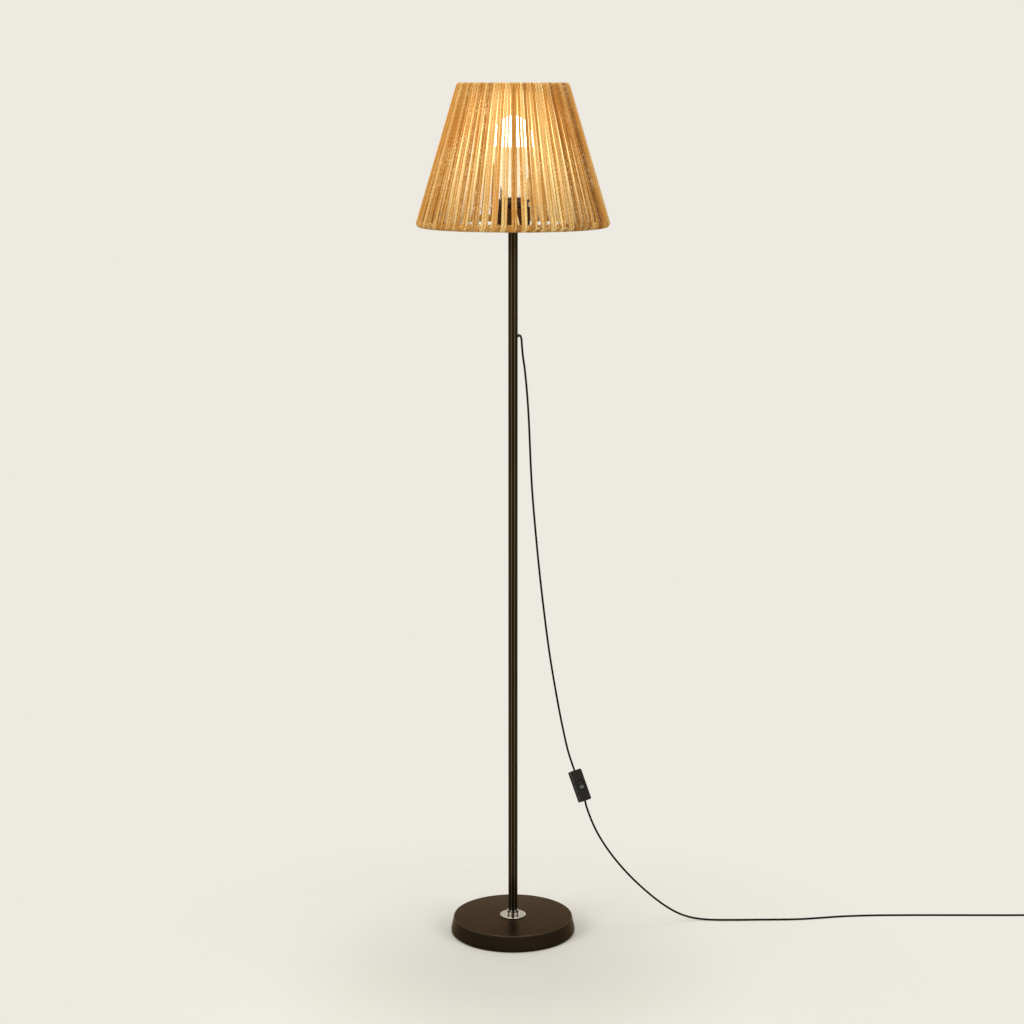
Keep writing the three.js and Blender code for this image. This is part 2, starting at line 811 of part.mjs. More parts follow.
// A closed tube through rings of points, with flat ends
function tubeThrough(rings) {
  const sides = rings[0].length;
  const index = [];
  for (let i = 0; i + 1 < rings.length; i++)
    for (let j = 0; j < sides; j++) {
      const a = i * sides + j;
      const b = i * sides + ((j + 1) % sides);
      index.push(a, b, b + sides, a, b + sides, a + sides);
    }
  const end = (rings.length - 1) * sides;
  for (let j = 1; j + 1 < sides; j++) index.push(0, j + 1, j, end, end + j, end + j + 1);
  const geometry = new THREE.BufferGeometry().setFromPoints(rings.flat());
  geometry.setIndex(index);
  return facedOut(geometry);
}

// The least distance between points on a tube that lie a few rings apart along it
function leastGap(rings, apart) {
  const cuts = 6;
  const samples = [];
  for (let i = 0; i + 1 < rings.length; i++)
    for (let j = 0; j < rings[i].length; j++)
      for (let k = 0; k < cuts; k++) {
        const point = rings[i][j].clone().lerp(rings[i + 1][j], k / cuts);
        samples.push({ at: i + k / cuts, point });
      }
  let least = Infinity;
  for (const one of samples)
    for (const other of samples)
      if (other.at - one.at >= apart) least = Math.min(least, one.point.distanceTo(other.point));
  return least;
}

function wireRing(radius, height, sides) {
  const torus = new THREE.TorusGeometry(radius, frameWireRadius, 6, sides);
  return torus.rotateZ(frontTurn).translate(0, 0, height);
}

function shadeFrame() {
  const ribs = [];
  for (let i = 0; i < ribCount; i++) {
    const turn = frontTurn + (2 * Math.PI * i) / ribCount;
    const foot = upright(lowerRing[0], turn, lowerRing[1]);
    const head = upright(upperRing[0], turn, upperRing[1]);
    ribs.push(rodBetween(foot, head, frameWireRadius, 6));
  }
  return joined(wireRing(...lowerRing, strandCount), wireRing(...upperRing, strandCount), ...ribs);
}

// The fitter ring lies on the lampholder's flange, and its spokes reach the lower ring between two strands.
function shadeFitter() {
  const spokes = [];
  for (let i = 0; i < spokeCount; i++) {
    const turn = frontTurn + strandPitch / 2 + (2 * Math.PI * i) / spokeCount;
    const from = upright(fitterRadius, turn, fitterHeight);
    const to = upright(lowerRingRadius - frameWireRadius - gap, turn, lowerRingHeight + spokeRise);
    spokes.push(rodBetween(from, to, frameWireRadius, cordSides));
  }
  const ring = new THREE.TorusGeometry(fitterRadius, frameWireRadius, cordSides, mediumSides);
  return joined(ring.translate(0, 0, fitterHeight), ...spokes);
}

function buildShade() {
  const loops = strandCount / windingCount;
  for (let i = 0; i < windingCount; i++) {
    const sections = windingSections(i * loops, loops);
    if (i === 0) console.log(`least gap of a winding to itself: ${leastGap(sections, 3).toFixed(2)} mm`);
    add(`winding_${String(i + 1).padStart(2, "0")}`, tubeThrough(sections), rattan);
  }
  add("shade_frame", shadeFrame(), wire);
  add("shade_fitter", shadeFitter(), bronze);
}

// Free cord

function cordTube(points, steps) {
  const path = new THREE.CatmullRomCurve3(points, false, "centripetal");
  return facedOut(new THREE.ExtrudeGeometry(roundShape(cordRadius, cordSides), { steps, bevelEnabled: false, extrudePath: path }));
}

const switchFlat = new THREE.Vector3(Math.cos(radians(switchLean)), 0, Math.sin(radians(switchLean)));
const switchBack = new THREE.Vector3(0, 1, 0).applyAxisAngle(switchFlat, -radians(switchNod));
const switchDown = new THREE.Vector3().crossVectors(switchBack, switchFlat);
const switchSide = switchFlat.clone().multiplyScalar(Math.cos(radians(switchRoll))).addScaledVector(switchBack, Math.sin(radians(switchRoll)));
const switchFace = switchFlat.clone().multiplyScalar(Math.sin(radians(switchRoll))).addScaledVector(switchBack, -Math.cos(radians(switchRoll)));
const switchMiddle = new THREE.Vector3(...switchPlace);

// A point of the coil's middle line after a number of turns
function coilPoint(turns) {
  const inwards = Math.min(turns, coilReverse);
  const outwards = Math.max(turns - coilReverse, 0);
  const r = coilRadius - coilPitch * inwards + coilPitch * outwards;
  const climbed = THREE.MathUtils.clamp((turns - coilClimbStart) / coilClimb, 0, 1);
  const turn = Math.PI / 2 - 2 * Math.PI * turns;
  const spot = upright(r, turn, coilLow + (coilHigh - coilLow) * climbed);
  return spot.add(new THREE.Vector3(coilPlace[0], coilPlace[1], 0));
}

function coilMiddles() {
  const start = coilPoint(0);
  const points = [start.clone().add(new THREE.Vector3(-coilLead, 0, 0))];
  const steps = Math.round(coilTurns * coilSteps);
  for (let i = 0; i <= steps; i++) points.push(coilPoint((i * coilTurns) / steps));
  const end = points[points.length - 1];
  points.push(end.clone().add(new THREE.Vector3(0, -coilTail, plugAxis - coilHigh)));
  return points;
}

const plugAxis = plugThickness / 2;
const coilEnd = coilPoint(coilTurns);

function coilSections() {
  const points = coilMiddles();
  return points.map((point, i) => {
    const before = points[Math.max(i - 1, 0)];
    const after = points[Math.min(i + 1, points.length - 1)];
    const along = new THREE.Vector3().subVectors(after, before).normalize();
    const side = new THREE.Vector3().crossVectors(along, new THREE.Vector3(0, 0, 1)).normalize();
    const up = new THREE.Vector3().crossVectors(side, along);
    const corners = roundShape(cordRadius, 6).getPoints().slice(0, 6);
    return corners.map(({ x, y }) => point.clone().addScaledVector(side, x).addScaledVector(up, y));
  });
}

// A band closed round the coil's section at one place
function coilTie() {
  const innerRadius = coilRadius - coilPitch * coilReverse - cordRadius - gap;
  const outerRadius = coilRadius + cordRadius + gap;
  const top = coilHigh + cordRadius + gap;
  const frame = new THREE.Shape([
    new THREE.Vector2(innerRadius - tieWall, 0),
    new THREE.Vector2(outerRadius + tieWall, 0),
    new THREE.Vector2(outerRadius + tieWall, top + tieWall),
    new THREE.Vector2(innerRadius - tieWall, top + tieWall),
  ]);
  frame.holes.push(
    new THREE.Path([
      new THREE.Vector2(innerRadius, tieWall),
      new THREE.Vector2(outerRadius, tieWall),
      new THREE.Vector2(outerRadius, top),
      new THREE.Vector2(innerRadius, top),
    ]),
  );
  const geometry = new THREE.ExtrudeGeometry(frame, { depth: tieWidth, bevelEnabled: false });
  geometry.translate(0, 0, -tieWidth / 2).rotateX(Math.PI / 2).rotateZ(radians(tieTurn));
  return facedOut(geometry.translate(coilPlace[0], coilPlace[1], 0));
}

function buildCord() {
  const start = upright(0, 0, glandHeight).addScaledVector(outward, poleRadius + glandLength + gap);
  const half = switchLength / 2 + gap;
  const above = switchMiddle.clone().addScaledVector(switchDown, -half);
  const below = switchMiddle.clone().addScaledVector(switchDown, half);
  const coilStart = coilPoint(0).add(new THREE.Vector3(-coilLead - gap, 0, 0));
  const vectors = (route) => route.map((point) => new THREE.Vector3(...point));
  add("cord_upper", cordTube([start, ...vectors(upperRoute), above], upperSteps), black);
  add("cord_lower", cordTube([below, ...vectors(lowerRoute), coilStart], lowerSteps), black);
  const sections = coilSections();
  console.log(`least gap of the coil to itself: ${leastGap(sections, coilSteps / 2).toFixed(2)} mm`);
  add("cord_coil", tubeThrough(sections), black);
  add("coil_tie", coilTie(), black);
}

// Switch, drawn with its length along Y and its face towards +Z

function roundedSlab(width, length, corner, bottom, top) {
  const shape = new THREE.Shape();
  const x = width / 2 - corner;
  const y = length / 2 - corner;
  shape.absarc(x, y, corner, 0, Math.PI / 2);
  shape.absarc(-x, y, corner, Math.PI / 2, Math.PI);
  shape.absarc(-x, -y, corner, Math.PI, 1.5 * Math.PI);
  shape.absarc(x, -y, corner, 1.5 * Math.PI, 2 * Math.PI);
  const geometry = new THREE.ExtrudeGeometry(shape, { depth: top - bottom, bevelEnabled: false, curveSegments: 3 });
  return geometry.translate(0, 0, bottom);
}

function switchBlock() {
  const shape = new THREE.Shape();
  const corner = switchCorner - switchBevel;
  const x = switchWidth / 2 - switchBevel - corner;
  const y = switchLength / 2 - switchBevel - corner;
  shape.absarc(x, y, corner, 0, Math.PI / 2);
  shape.absarc(-x, y, corner, Math.PI / 2, Math.PI);
  shape.absarc(-x, -y, corner, Math.PI, 1.5 * Math.PI);
  shape.absarc(x, -y, corner, 1.5 * Math.PI, 2 * Math.PI);
  const depth = switchThickness - 2 * switchBevel;
  const bevel = { bevelSize: switchBevel, bevelThickness: switchBevel, bevelSegments: 2 };
  const geometry = new THREE.ExtrudeGeometry(shape, { depth, curveSegments: 3, ...bevel });
  return geometry.translate(0, 0, -depth / 2);
}

const rockerSlot = [rockerWidth + 2 * rockerClearance, rockerLength + 4 * rockerClearance];
const switchFaceHeight = switchThickness / 2;
const pivotHeight = switchFaceHeight - pivotDepth;

function switchShell(front) {
  const room = switchThickness + overrun;
  const half = roundedSlab(switchWidth + overrun, switchLength + overrun, switchCorner, gap / 2, room);
  if (!front) half.rotateY(Math.PI);
  const inside = switchFaceHeight - switchWall;
  const pocketLength = switchLength - 2 * switchEndWall;
  const pocket = roundedSlab(switchWidth - 2 * switchWall, pocketLength, switchCorner - switchWall, -inside, inside);
  const shell = without(common(switchBlock(), half), pocket);
  const screwTop = new THREE.Vector3(0, -switchScrewPlace, switchThickness);
  const screwMiddle = new THREE.Vector3(0, -switchScrewPlace, 0);
  if (front) {
    const slot = roundedSlab(...rockerSlot, rockerClearance, 0, room);
    return without(shell, slot, rodBetween(screwMiddle, screwTop, switchScrewRadius + gap, rodSides));
  }
  const bossFoot = new THREE.Vector3(0, -switchScrewPlace, -inside - gap);
  const bossTop = new THREE.Vector3(0, -switchScrewPlace, -gap / 2);
  const boss = rodBetween(bossFoot, bossTop, switchBossRadius, rodSides);
  const bore = new THREE.Vector3(0, -switchScrewPlace, -inside + gap);
  return without(joined(shell, boss), rodBetween(bore, screwTop, switchShankRadius + gap, rodSides));
}

function switchScrew() {
  const headTop = switchFaceHeight - gap;
  const headFoot = switchWall;
  const tip = -switchFaceHeight + switchWall + 2 * gap;
  const profile = [
    [0, tip],
    [switchShankRadius, tip],
    [switchShankRadius, headFoot],
    [switchScrewRadius, headFoot],
    [switchScrewRadius, headTop],
    [0, headTop],
  ];
  return turned(profile, rodSides).translate(0, -switchScrewPlace, 0);
}

// The rocker's side view, extruded across the switch, with its pivot's ends, turned about the pivot
function switchRocker() {
  const end = rockerLength / 2;
  const shape = new THREE.Shape([
    new THREE.Vector2(-end, rockerHeight),
    new THREE.Vector2(-end, 0),
    new THREE.Vector2(-end / 2, -rockerDepth),
    new THREE.Vector2(end / 2, -rockerDepth),
    new THREE.Vector2(end, 0),
    new THREE.Vector2(end, rockerHeight),
    new THREE.Vector2(0, rockerHeight - rockerDip),
  ]);
  const body = new THREE.ExtrudeGeometry(shape, { depth: rockerWidth, bevelEnabled: false });
  body.translate(0, 0, -rockerWidth / 2);
  const sideways = new THREE.Matrix4().makeBasis(
    new THREE.Vector3(0, 1, 0),
    new THREE.Vector3(0, 0, 1),
    new THREE.Vector3(1, 0, 0),
  );
  body.applyMatrix4(sideways);
  const reach = switchWidth / 2 - switchWall - gap;
  const pivot = rodBetween(new THREE.Vector3(-reach, 0, 0), new THREE.Vector3(reach, 0, 0), pivotRadius, rodSides);
  return joined(body, pivot).rotateX(radians(-rockerTilt)).translate(0, 0, pivotHeight);
}

// A bent strip that lies on the shell's floor
function switchContact(place) {
  const floor = -switchFaceHeight + switchWall + gap;
  const shape = new THREE.Shape([
    new THREE.Vector2(0, floor),
    new THREE.Vector2(switchContactLength, floor),
    new THREE.Vector2(switchContactLength, floor + switchContactThickness),
    new THREE.Vector2(switchContactThickness, floor + switchContactThickness),
    new THREE.Vector2(switchContactThickness, floor + switchContactHeight),
    new THREE.Vector2(0, floor + switchContactHeight),
  ]);
  const strip = new THREE.ExtrudeGeometry(shape, { depth: switchContactWidth, bevelEnabled: false });
  strip.rotateX(Math.PI / 2).rotateZ(Math.PI / 2).rotateX(0);
  return facedOut(strip.translate(-switchContactWidth / 2, place, 0));
}

function buildSwitch() {
  const group = new THREE.Group();
  group.position.copy(switchMiddle);
  const basis = new THREE.Matrix4().makeBasis(switchSide, switchDown.clone().negate(), switchFace);
  group.quaternion.setFromRotationMatrix(basis);
  lamp.add(group);
  add("switch_cover", switchShell(true), black, group);
  add("switch_base", switchShell(false), black, group);
  add("switch_rocker", switchRocker(), black, group);
  add("switch_screw", switchScrew(), steel, group);
  add("contact_fixed", switchContact(switchContactThickness), brass, group);
  add("contact_moving", switchContact(-switchContactLength - switchContactThickness), brass, group);
}

// Plug, drawn with its cord towards +Y

function plugBody() {
  const half = plugWidth / 2 - plugBevel;
  const tail = plugTailWidth / 2 - plugBevel;
  const front = plugBevel;
  const shape = new THREE.Shape([
    new THREE.Vector2(-half, front),
    new THREE.Vector2(half, front),
    new THREE.Vector2(half, plugShoulder),
    new THREE.Vector2(tail, plugLength - plugBevel),
    new THREE.Vector2(-tail, plugLength - plugBevel),
    new THREE.Vector2(-half, plugShoulder),
  ]);
  const depth = plugThickness - 2 * plugBevel;
  const bevel = { bevelSize: plugBevel, bevelThickness: plugBevel, bevelSegments: 2 };
  const block = new THREE.ExtrudeGeometry(shape, { depth, ...bevel }).translate(0, 0, -depth / 2);
  const relief = new THREE.CylinderGeometry(reliefTipRadius, reliefRootRadius, reliefLength + plugBevel, rodSides);
  relief.translate(0, plugLength + (reliefLength - plugBevel) / 2, 0);
  const seats = [-1, 1].map((side) => {
    const x = (side * pinSpacing) / 2;
    return rodBetween(new THREE.Vector3(x, -overrun, 0), new THREE.Vector3(x, pinSeat, 0), pinRadius + gap, rodSides);
  });
  return without(joined(block, relief), ...seats);
}

function plugPin(side) {
  const root = pinSeat - gap;
  const profile = [
    [0, -pinLength],
    [pinRadius - pinTip, -pinLength],
    [pinRadius, -pinLength + pinTip],
    [pinRadius, root],
    [0, root],
  ];
  return turned(profile, rodSides).rotateX(-Math.PI / 2).translate((side * pinSpacing) / 2, 0, 0);
}

function buildPlug() {
  const group = new THREE.Group();
  group.position.set(coilEnd.x, coilEnd.y - coilTail - gap - reliefLength - plugLength, plugAxis);
  lamp.add(group);
  add("plug_body", plugBody(), black, group);
  add("plug_pin_1", plugPin(-1), steel, group);
  add("plug_pin_2", plugPin(1), steel, group);
}

buildBase();
buildPole();
buildHolder();
buildBulb();
buildShade();
buildCord();
buildSwitch();
buildPlug();

export default lamp;
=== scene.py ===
import math
import random

import bpy
import numpy as np
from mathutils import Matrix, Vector


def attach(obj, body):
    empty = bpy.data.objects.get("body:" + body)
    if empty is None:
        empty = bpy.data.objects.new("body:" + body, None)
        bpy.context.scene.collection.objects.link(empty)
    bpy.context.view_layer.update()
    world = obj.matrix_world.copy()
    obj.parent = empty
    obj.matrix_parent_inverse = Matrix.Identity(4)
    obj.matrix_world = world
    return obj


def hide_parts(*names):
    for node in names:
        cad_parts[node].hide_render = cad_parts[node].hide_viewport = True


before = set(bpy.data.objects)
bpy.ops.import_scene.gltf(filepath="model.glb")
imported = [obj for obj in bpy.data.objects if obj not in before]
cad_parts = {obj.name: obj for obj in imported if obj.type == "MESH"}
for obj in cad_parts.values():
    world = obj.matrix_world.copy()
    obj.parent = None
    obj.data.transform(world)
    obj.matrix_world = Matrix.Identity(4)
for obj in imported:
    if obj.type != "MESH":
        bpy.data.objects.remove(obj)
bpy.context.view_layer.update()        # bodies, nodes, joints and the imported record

random.seed(7)
MM = 0.001
TURN = 2 * math.pi
UP = np.array((0, 0, 1))
scene = bpy.context.scene
scene.view_settings.view_transform = "Standard"


# Camera: the photograph's place and angle

camera_data = bpy.data.cameras.new("camera")
camera_data.lens = 79.65
camera_data.sensor_width = 36
camera = bpy.data.objects.new("camera", camera_data)
camera.location = (-0.0017, -3.8324, 1.4788)
camera.rotation_euler = (math.radians(90 - 10.651), 0, 0)
scene.collection.objects.link(camera)
scene.camera = camera


# Materials, with their sizes in metres

def paint(red, green, blue):
    """Linear colour of an 8-bit screen colour."""
    def linear(value):
        share = value / 255
        return share / 12.92 if share <= 0.04045 else ((share + 0.055) / 1.055) ** 2.4
    return (linear(red), linear(green), linear(blue), 1)


class Finish:
    """A procedural material: its nodes are added and linked by short calls."""

    def __init__(self, name):
        self.material = bpy.data.materials.new(name)
        self.material.use_nodes = True
        self.tree = self.material.node_tree
        self.shader = self.tree.nodes["Principled BSDF"]
        self.place = self.node("TexCoord").outputs["Object"]

    def node(self, kind, *values, **settings):
        made = self.tree.nodes.new("ShaderNode" + kind)
        for key, value in settings.items():
            setattr(made, key, value)
        for socket, value in zip(made.inputs, values):
            if value is not None:
                self.feed(socket, value)
        return made

    def feed(self, socket, value):
        if isinstance(value, bpy.types.NodeSocket):
            self.tree.links.new(value, socket)
        else:
            socket.default_value = value

    def set(self, name, value):
        self.feed(self.shader.inputs[name], value)

    def math(self, operation, *values):
        return self.node("Math", *values, operation=operation).outputs[0]

    def remap(self, value, low, high, from_low=0.3, from_high=0.7):
        return self.node("MapRange", value, from_low, from_high, low, high).outputs[0]

    def noise(self, scale, detail=3.0, roughness=0.55, place=None, stretch=(1, 1, 1)):
        place = self.place if place is None else place
        if stretch != (1, 1, 1):
            place = self.node("Mapping", place, None, None, stretch).outputs[0]
        made = self.node("TexNoise")
        for name, value in (("Vector", place), ("Scale", scale), ("Detail", detail), ("Roughness", roughness)):
            self.feed(made.inputs[name], value)
        return made.outputs["Fac"]

    def mix(self, share, first, second):
        made = self.node("Mix", data_type="RGBA")
        for socket, value in ((0, share), (6, first), (7, second)):
            self.feed(made.inputs[socket], value)
        return made.outputs[2]

    def tint(self, share, colour):
        """Lays a share of another colour over the base colour."""
        under = self.shader.inputs["Base Color"].links[0].from_socket
        over = self.mix(share, under, colour)
        self.set("Base Color", over)
        return over

    def bump(self, height, distance, strength=1.0):
        """Adds relief to the relief that is there."""
        made = self.node("Bump")
        for name, value in (("Strength", strength), ("Distance", distance), ("Height", height)):
            self.feed(made.inputs[name], value)
        if self.shader.inputs["Normal"].is_linked:
            self.feed(made.inputs["Normal"], self.shader.inputs["Normal"].links[0].from_socket)
        self.set("Normal", made.outputs[0])
        return made.outputs[0]

    def blend(self, share, other):
        """Another shader takes a share of the surface."""
        both = self.node("MixShader", share, self.shader.outputs[0], other.outputs[0])
        self.tree.links.new(both.outputs[0], self.tree.nodes["Material Output"].inputs["Surface"])

    def fact(self, name):
        """A value that the mesh holds at each of its points."""
        return self.node("Attribute", attribute_name=name).outputs["Fac"]

    def turn(self):
        """Share of a turn about the lamp's own axis."""
        return self.node("TexGradient", self.place, gradient_type="RADIAL").outputs["Fac"]

    def from_axis(self):
        """Distance from the lamp's own axis."""
        flat = self.node("VectorMath", self.place, (1, 1, 0), operation="MULTIPLY").outputs[0]
        return self.node("VectorMath", flat, operation="LENGTH").outputs["Value"]

    def rings(self, period):
        """Waves that run round the lamp's own axis."""
        return self.math("SINE", self.math("MULTIPLY", self.from_axis(), TURN / period))

    def band(self, radius, full, none):
        """1 up to a first distance from a radius and 0 from a second on."""
        away = self.math("ABSOLUTE", self.math("SUBTRACT", self.from_axis(), radius))
        return self.remap(away, 1, 0, full, none)


WHITE = (1, 1, 1, 1)
DULL = (0.3, 0.27, 0.24, 1)


def plain(
    name, dark, light, rough, metallic=0.0, level=0.5, scale=60, grain=900, depth=0.00004, stretch=(1, 1, 1), edge=WHITE
):
    """A finish with cloudy colour, uneven gloss and fine grain."""
    made = Finish(name)
    clouds = made.noise(scale, 4, 0.6, stretch=stretch)
    made.set("Base Color", made.mix(made.remap(clouds, 0, 1), dark, light))
    made.set("Roughness", made.remap(made.noise(scale * 2.3, 4, 0.6), rough[0], rough[1]))
    made.set("Metallic", metallic)
    made.set("Specular IOR Level", level)
    made.set("Specular Tint", edge)
    made.bump(made.noise(grain, 2, 0.5, stretch=stretch), depth)
    return made


cup_finish = plain(
    "dark_bronze_cup", (0.05, 0.024, 0.009, 1), (0.07, 0.036, 0.014, 1), (0.36, 0.46),
    metallic=0.35, level=0.0, scale=50, edge=DULL,
).material
chrome = plain(
    "chrome", (0.76, 0.77, 0.78, 1), (0.86, 0.86, 0.86, 1), (0.08, 0.16),
    metallic=1.0, scale=90, grain=1200, depth=0.00001,
).material
steel = plain(
    "zinc_plate", (0.5, 0.5, 0.49, 1), (0.62, 0.62, 0.6, 1), (0.28, 0.42),
    metallic=1.0, scale=90, grain=1200, depth=0.00002,
).material
brass = plain(
    "brass", (0.62, 0.45, 0.18, 1), (0.74, 0.56, 0.26, 1), (0.25, 0.4),
    metallic=1.0, scale=80, grain=1200, depth=0.00002,
).material
cement = plain(
    "cast_cement", paint(120, 117, 110), paint(158, 154, 146), (0.8, 0.95),
    level=0.3, scale=40, grain=400, depth=0.0003,
).material
felt = plain(
    "thin_felt", paint(40, 37, 35), paint(56, 52, 48), (0.9, 1.0),
    level=0.2, scale=120, grain=1500, depth=0.0003,
).material
ceramic = plain("ceramic", paint(226, 222, 212), paint(238, 235, 227), (0.35, 0.5)).material
plastic = plain(
    "satin_black_plastic", paint(21, 20, 18), paint(29, 27, 24), (0.42, 0.55),
    level=0.2, scale=90, grain=1600, depth=0.00005,
).material
# A darker copy of the black plastic for the switch's back half: painted shade on that side.
shaded_back_plastic = plain(
    "satin_black_plastic_painted_shade", paint(10, 9, 8), paint(16, 15, 13), (0.5, 0.62),
    level=0.1, scale=90, grain=1600, depth=0.00005,
).material
insulator = plain(
    "black_glass", paint(12, 12, 12), paint(22, 21, 20), (0.1, 0.2), grain=700, depth=0.00002,
).material
board_mask = plain(
    "white_board", paint(214, 213, 208), paint(230, 229, 224), (0.4, 0.5), scale=70, grain=500, depth=0.00003,
).material
jacket = plain(
    "cord_jacket", paint(5, 5, 4), paint(10, 9, 8), (0.5, 0.62), level=0.06, scale=140, grain=1800,
).material


def pole_finish():
    """Dark bronze tube with lighter streaks along it, which are painted highlights; its edges stay dull."""
    made = plain(
        "dark_bronze_pole", (0.009, 0.0052, 0.0018, 1), (0.014, 0.0085, 0.0035, 1), (0.2, 0.28),
        metallic=0.65, level=0.0, scale=30, grain=700, depth=0.00001, stretch=(1, 1, 0.25), edge=DULL,
    )
    streaks, sway, narrowness = 9, 0.7, 2.6
    wobble = made.math("MULTIPLY", made.noise(14, 2, 0.5, stretch=(1, 1, 0.12)), sway)
    phase = made.math("SUBTRACT", wobble, sway / 2 - math.pi / 2)
    reflection_wave = made.math("COSINE", made.math("ADD", made.math("MULTIPLY", made.turn(), TURN * streaks), phase))
    # Lighter streaks at angles round the pole: painted highlights.
    made.tint(made.math("POWER", made.remap(reflection_wave, 0, 1, -1, 1), narrowness), (0.108, 0.08, 0.049, 1))
    return made.material


def base_finish():
    """Satin bronze paint with a painted highlight round the rim of its top, and faint rings round the middle of the
    base.
    """
    made = plain(
        "dark_bronze_base", (0.017, 0.0115, 0.0065, 1), (0.023, 0.016, 0.0095, 1), (0.26, 0.36),
        metallic=0.8, level=0.0, scale=26, grain=1100, depth=0.00003, edge=(0.8, 0.68, 0.59, 1),
    )
    # A lighter band at the rim of the top: a painted highlight.
    made.tint(made.band(0.1043, 0.0003, 0.0011), (0.058, 0.043, 0.028, 1))
    fade = made.remap(made.from_axis(), 1, 0.1, 0.03, 0.075)
    made.bump(made.math("MULTIPLY", made.rings(0.0021), fade), 0.000012)
    return made.material


def wire_finish():
    """Cream paint, with painted shade near the axis, on the fitter ring under the shade's ring."""
    made = plain(
        "wire_paint", paint(222, 204, 166), paint(232, 216, 182), (0.4, 0.55), level=0.4, scale=90, depth=0.00005
    )
    # Dark near the axis: painted shade under the shade's ring and by the cup.
    made.tint(made.remap(made.from_axis(), 1, 0, 0.0275, 0.0305), paint(48, 34, 22))
    return made.material


def nut_finish():
    """Chrome with painted dark reflections at its corners; its flats mirror the light."""
    made = plain(
        "nut_chrome", (0.93, 0.9, 0.83, 1), (1, 0.98, 0.93, 1), (0.06, 0.14),
        metallic=1.0, scale=90, grain=1200, depth=0.00001,
    )
    corners = 6
    reflection_wave = made.math("COSINE", made.math("MULTIPLY", made.turn(), TURN * corners))
    # Dark at the corners: painted reflections.
    made.tint(made.math("POWER", made.remap(reflection_wave, 1, 0, -1, 1), 0.9), (0.03, 0.023, 0.016, 1))
    return made.material


def washer_finish():
    """Bright chrome, turned, so that fine rings show on it in relief and as painted reflections, with two rings of
    painted shade.
    """
    made = plain(
        "turned_chrome", (0.5, 0.46, 0.385, 1), (0.68, 0.63, 0.54, 1), (0.03, 0.07),
        metallic=1.0, scale=120, grain=1500, depth=0.00001,
    )
    rings = made.rings(0.0026)
    made.bump(rings, 0.00002)
    # Darker on every fine ring: painted reflections of the turned surface.
    made.tint(made.remap(rings, 0, 0.45, 0, 1), (0.3, 0.265, 0.215, 1))
    # Two dark rings on the flat face: painted shade.
    groove_shade = [made.band(radius, 0.00025, 0.0007) for radius in (0.0152, 0.0193)]
    made.tint(made.math("MAXIMUM", *groove_shade), (0.16, 0.15, 0.14, 1))
    return made.material


def rocker_finish():
    """Black plastic, painted lighter grey on the rocker's raised end as a highlight."""
    made = plain(
        "black_plastic_lit_end", paint(20, 19, 21), paint(28, 27, 29), (0.3, 0.4),
        level=0.3, scale=90, grain=1500, depth=0.00003,
    )
    # Grey on the raised end: a painted highlight.
    made.tint(made.fact("lit_end_share"), paint(74, 78, 74))
    return made.material


def ring_finish():
    """Bronze plastic with a knurled edge."""
    made = plain("knurled_plastic", paint(62, 48, 34), paint(74, 58, 42), (0.4, 0.5), level=0.4)
    knurls = 60
    made.bump(made.math("SINE", made.math("MULTIPLY", made.turn(), TURN * knurls)), 0.0004)
    return made.material


def housing_finish():
    """White plastic with a faint painted glow, for the bulb's light in it."""
    made = plain(
        "white_plastic", paint(232, 226, 208), paint(240, 235, 220), (0.4, 0.52), scale=40, grain=800, depth=0.00003
    )
    # A painted glow: the housing itself gives no light.
    made.set("Emission Color", (1.0, 0.92, 0.7, 1))
    made.set("Emission Strength", 0.35)
    return made.material


def glow_finish():
    """Opal plastic, lit from inside in a slightly uneven warm white."""
    made = plain(
        "lit_opal", paint(246, 240, 226), paint(250, 246, 236), (0.4, 0.5),
        level=0.4, scale=50, grain=700, depth=0.00002,
    )
    warm = made.mix(made.remap(made.noise(30, 2), 0, 1), (1.0, 0.93, 0.76, 1), (1.0, 0.96, 0.82, 1))
    made.set("Emission Color", warm)
    made.set("Emission Strength", 21.0)
    return made.material


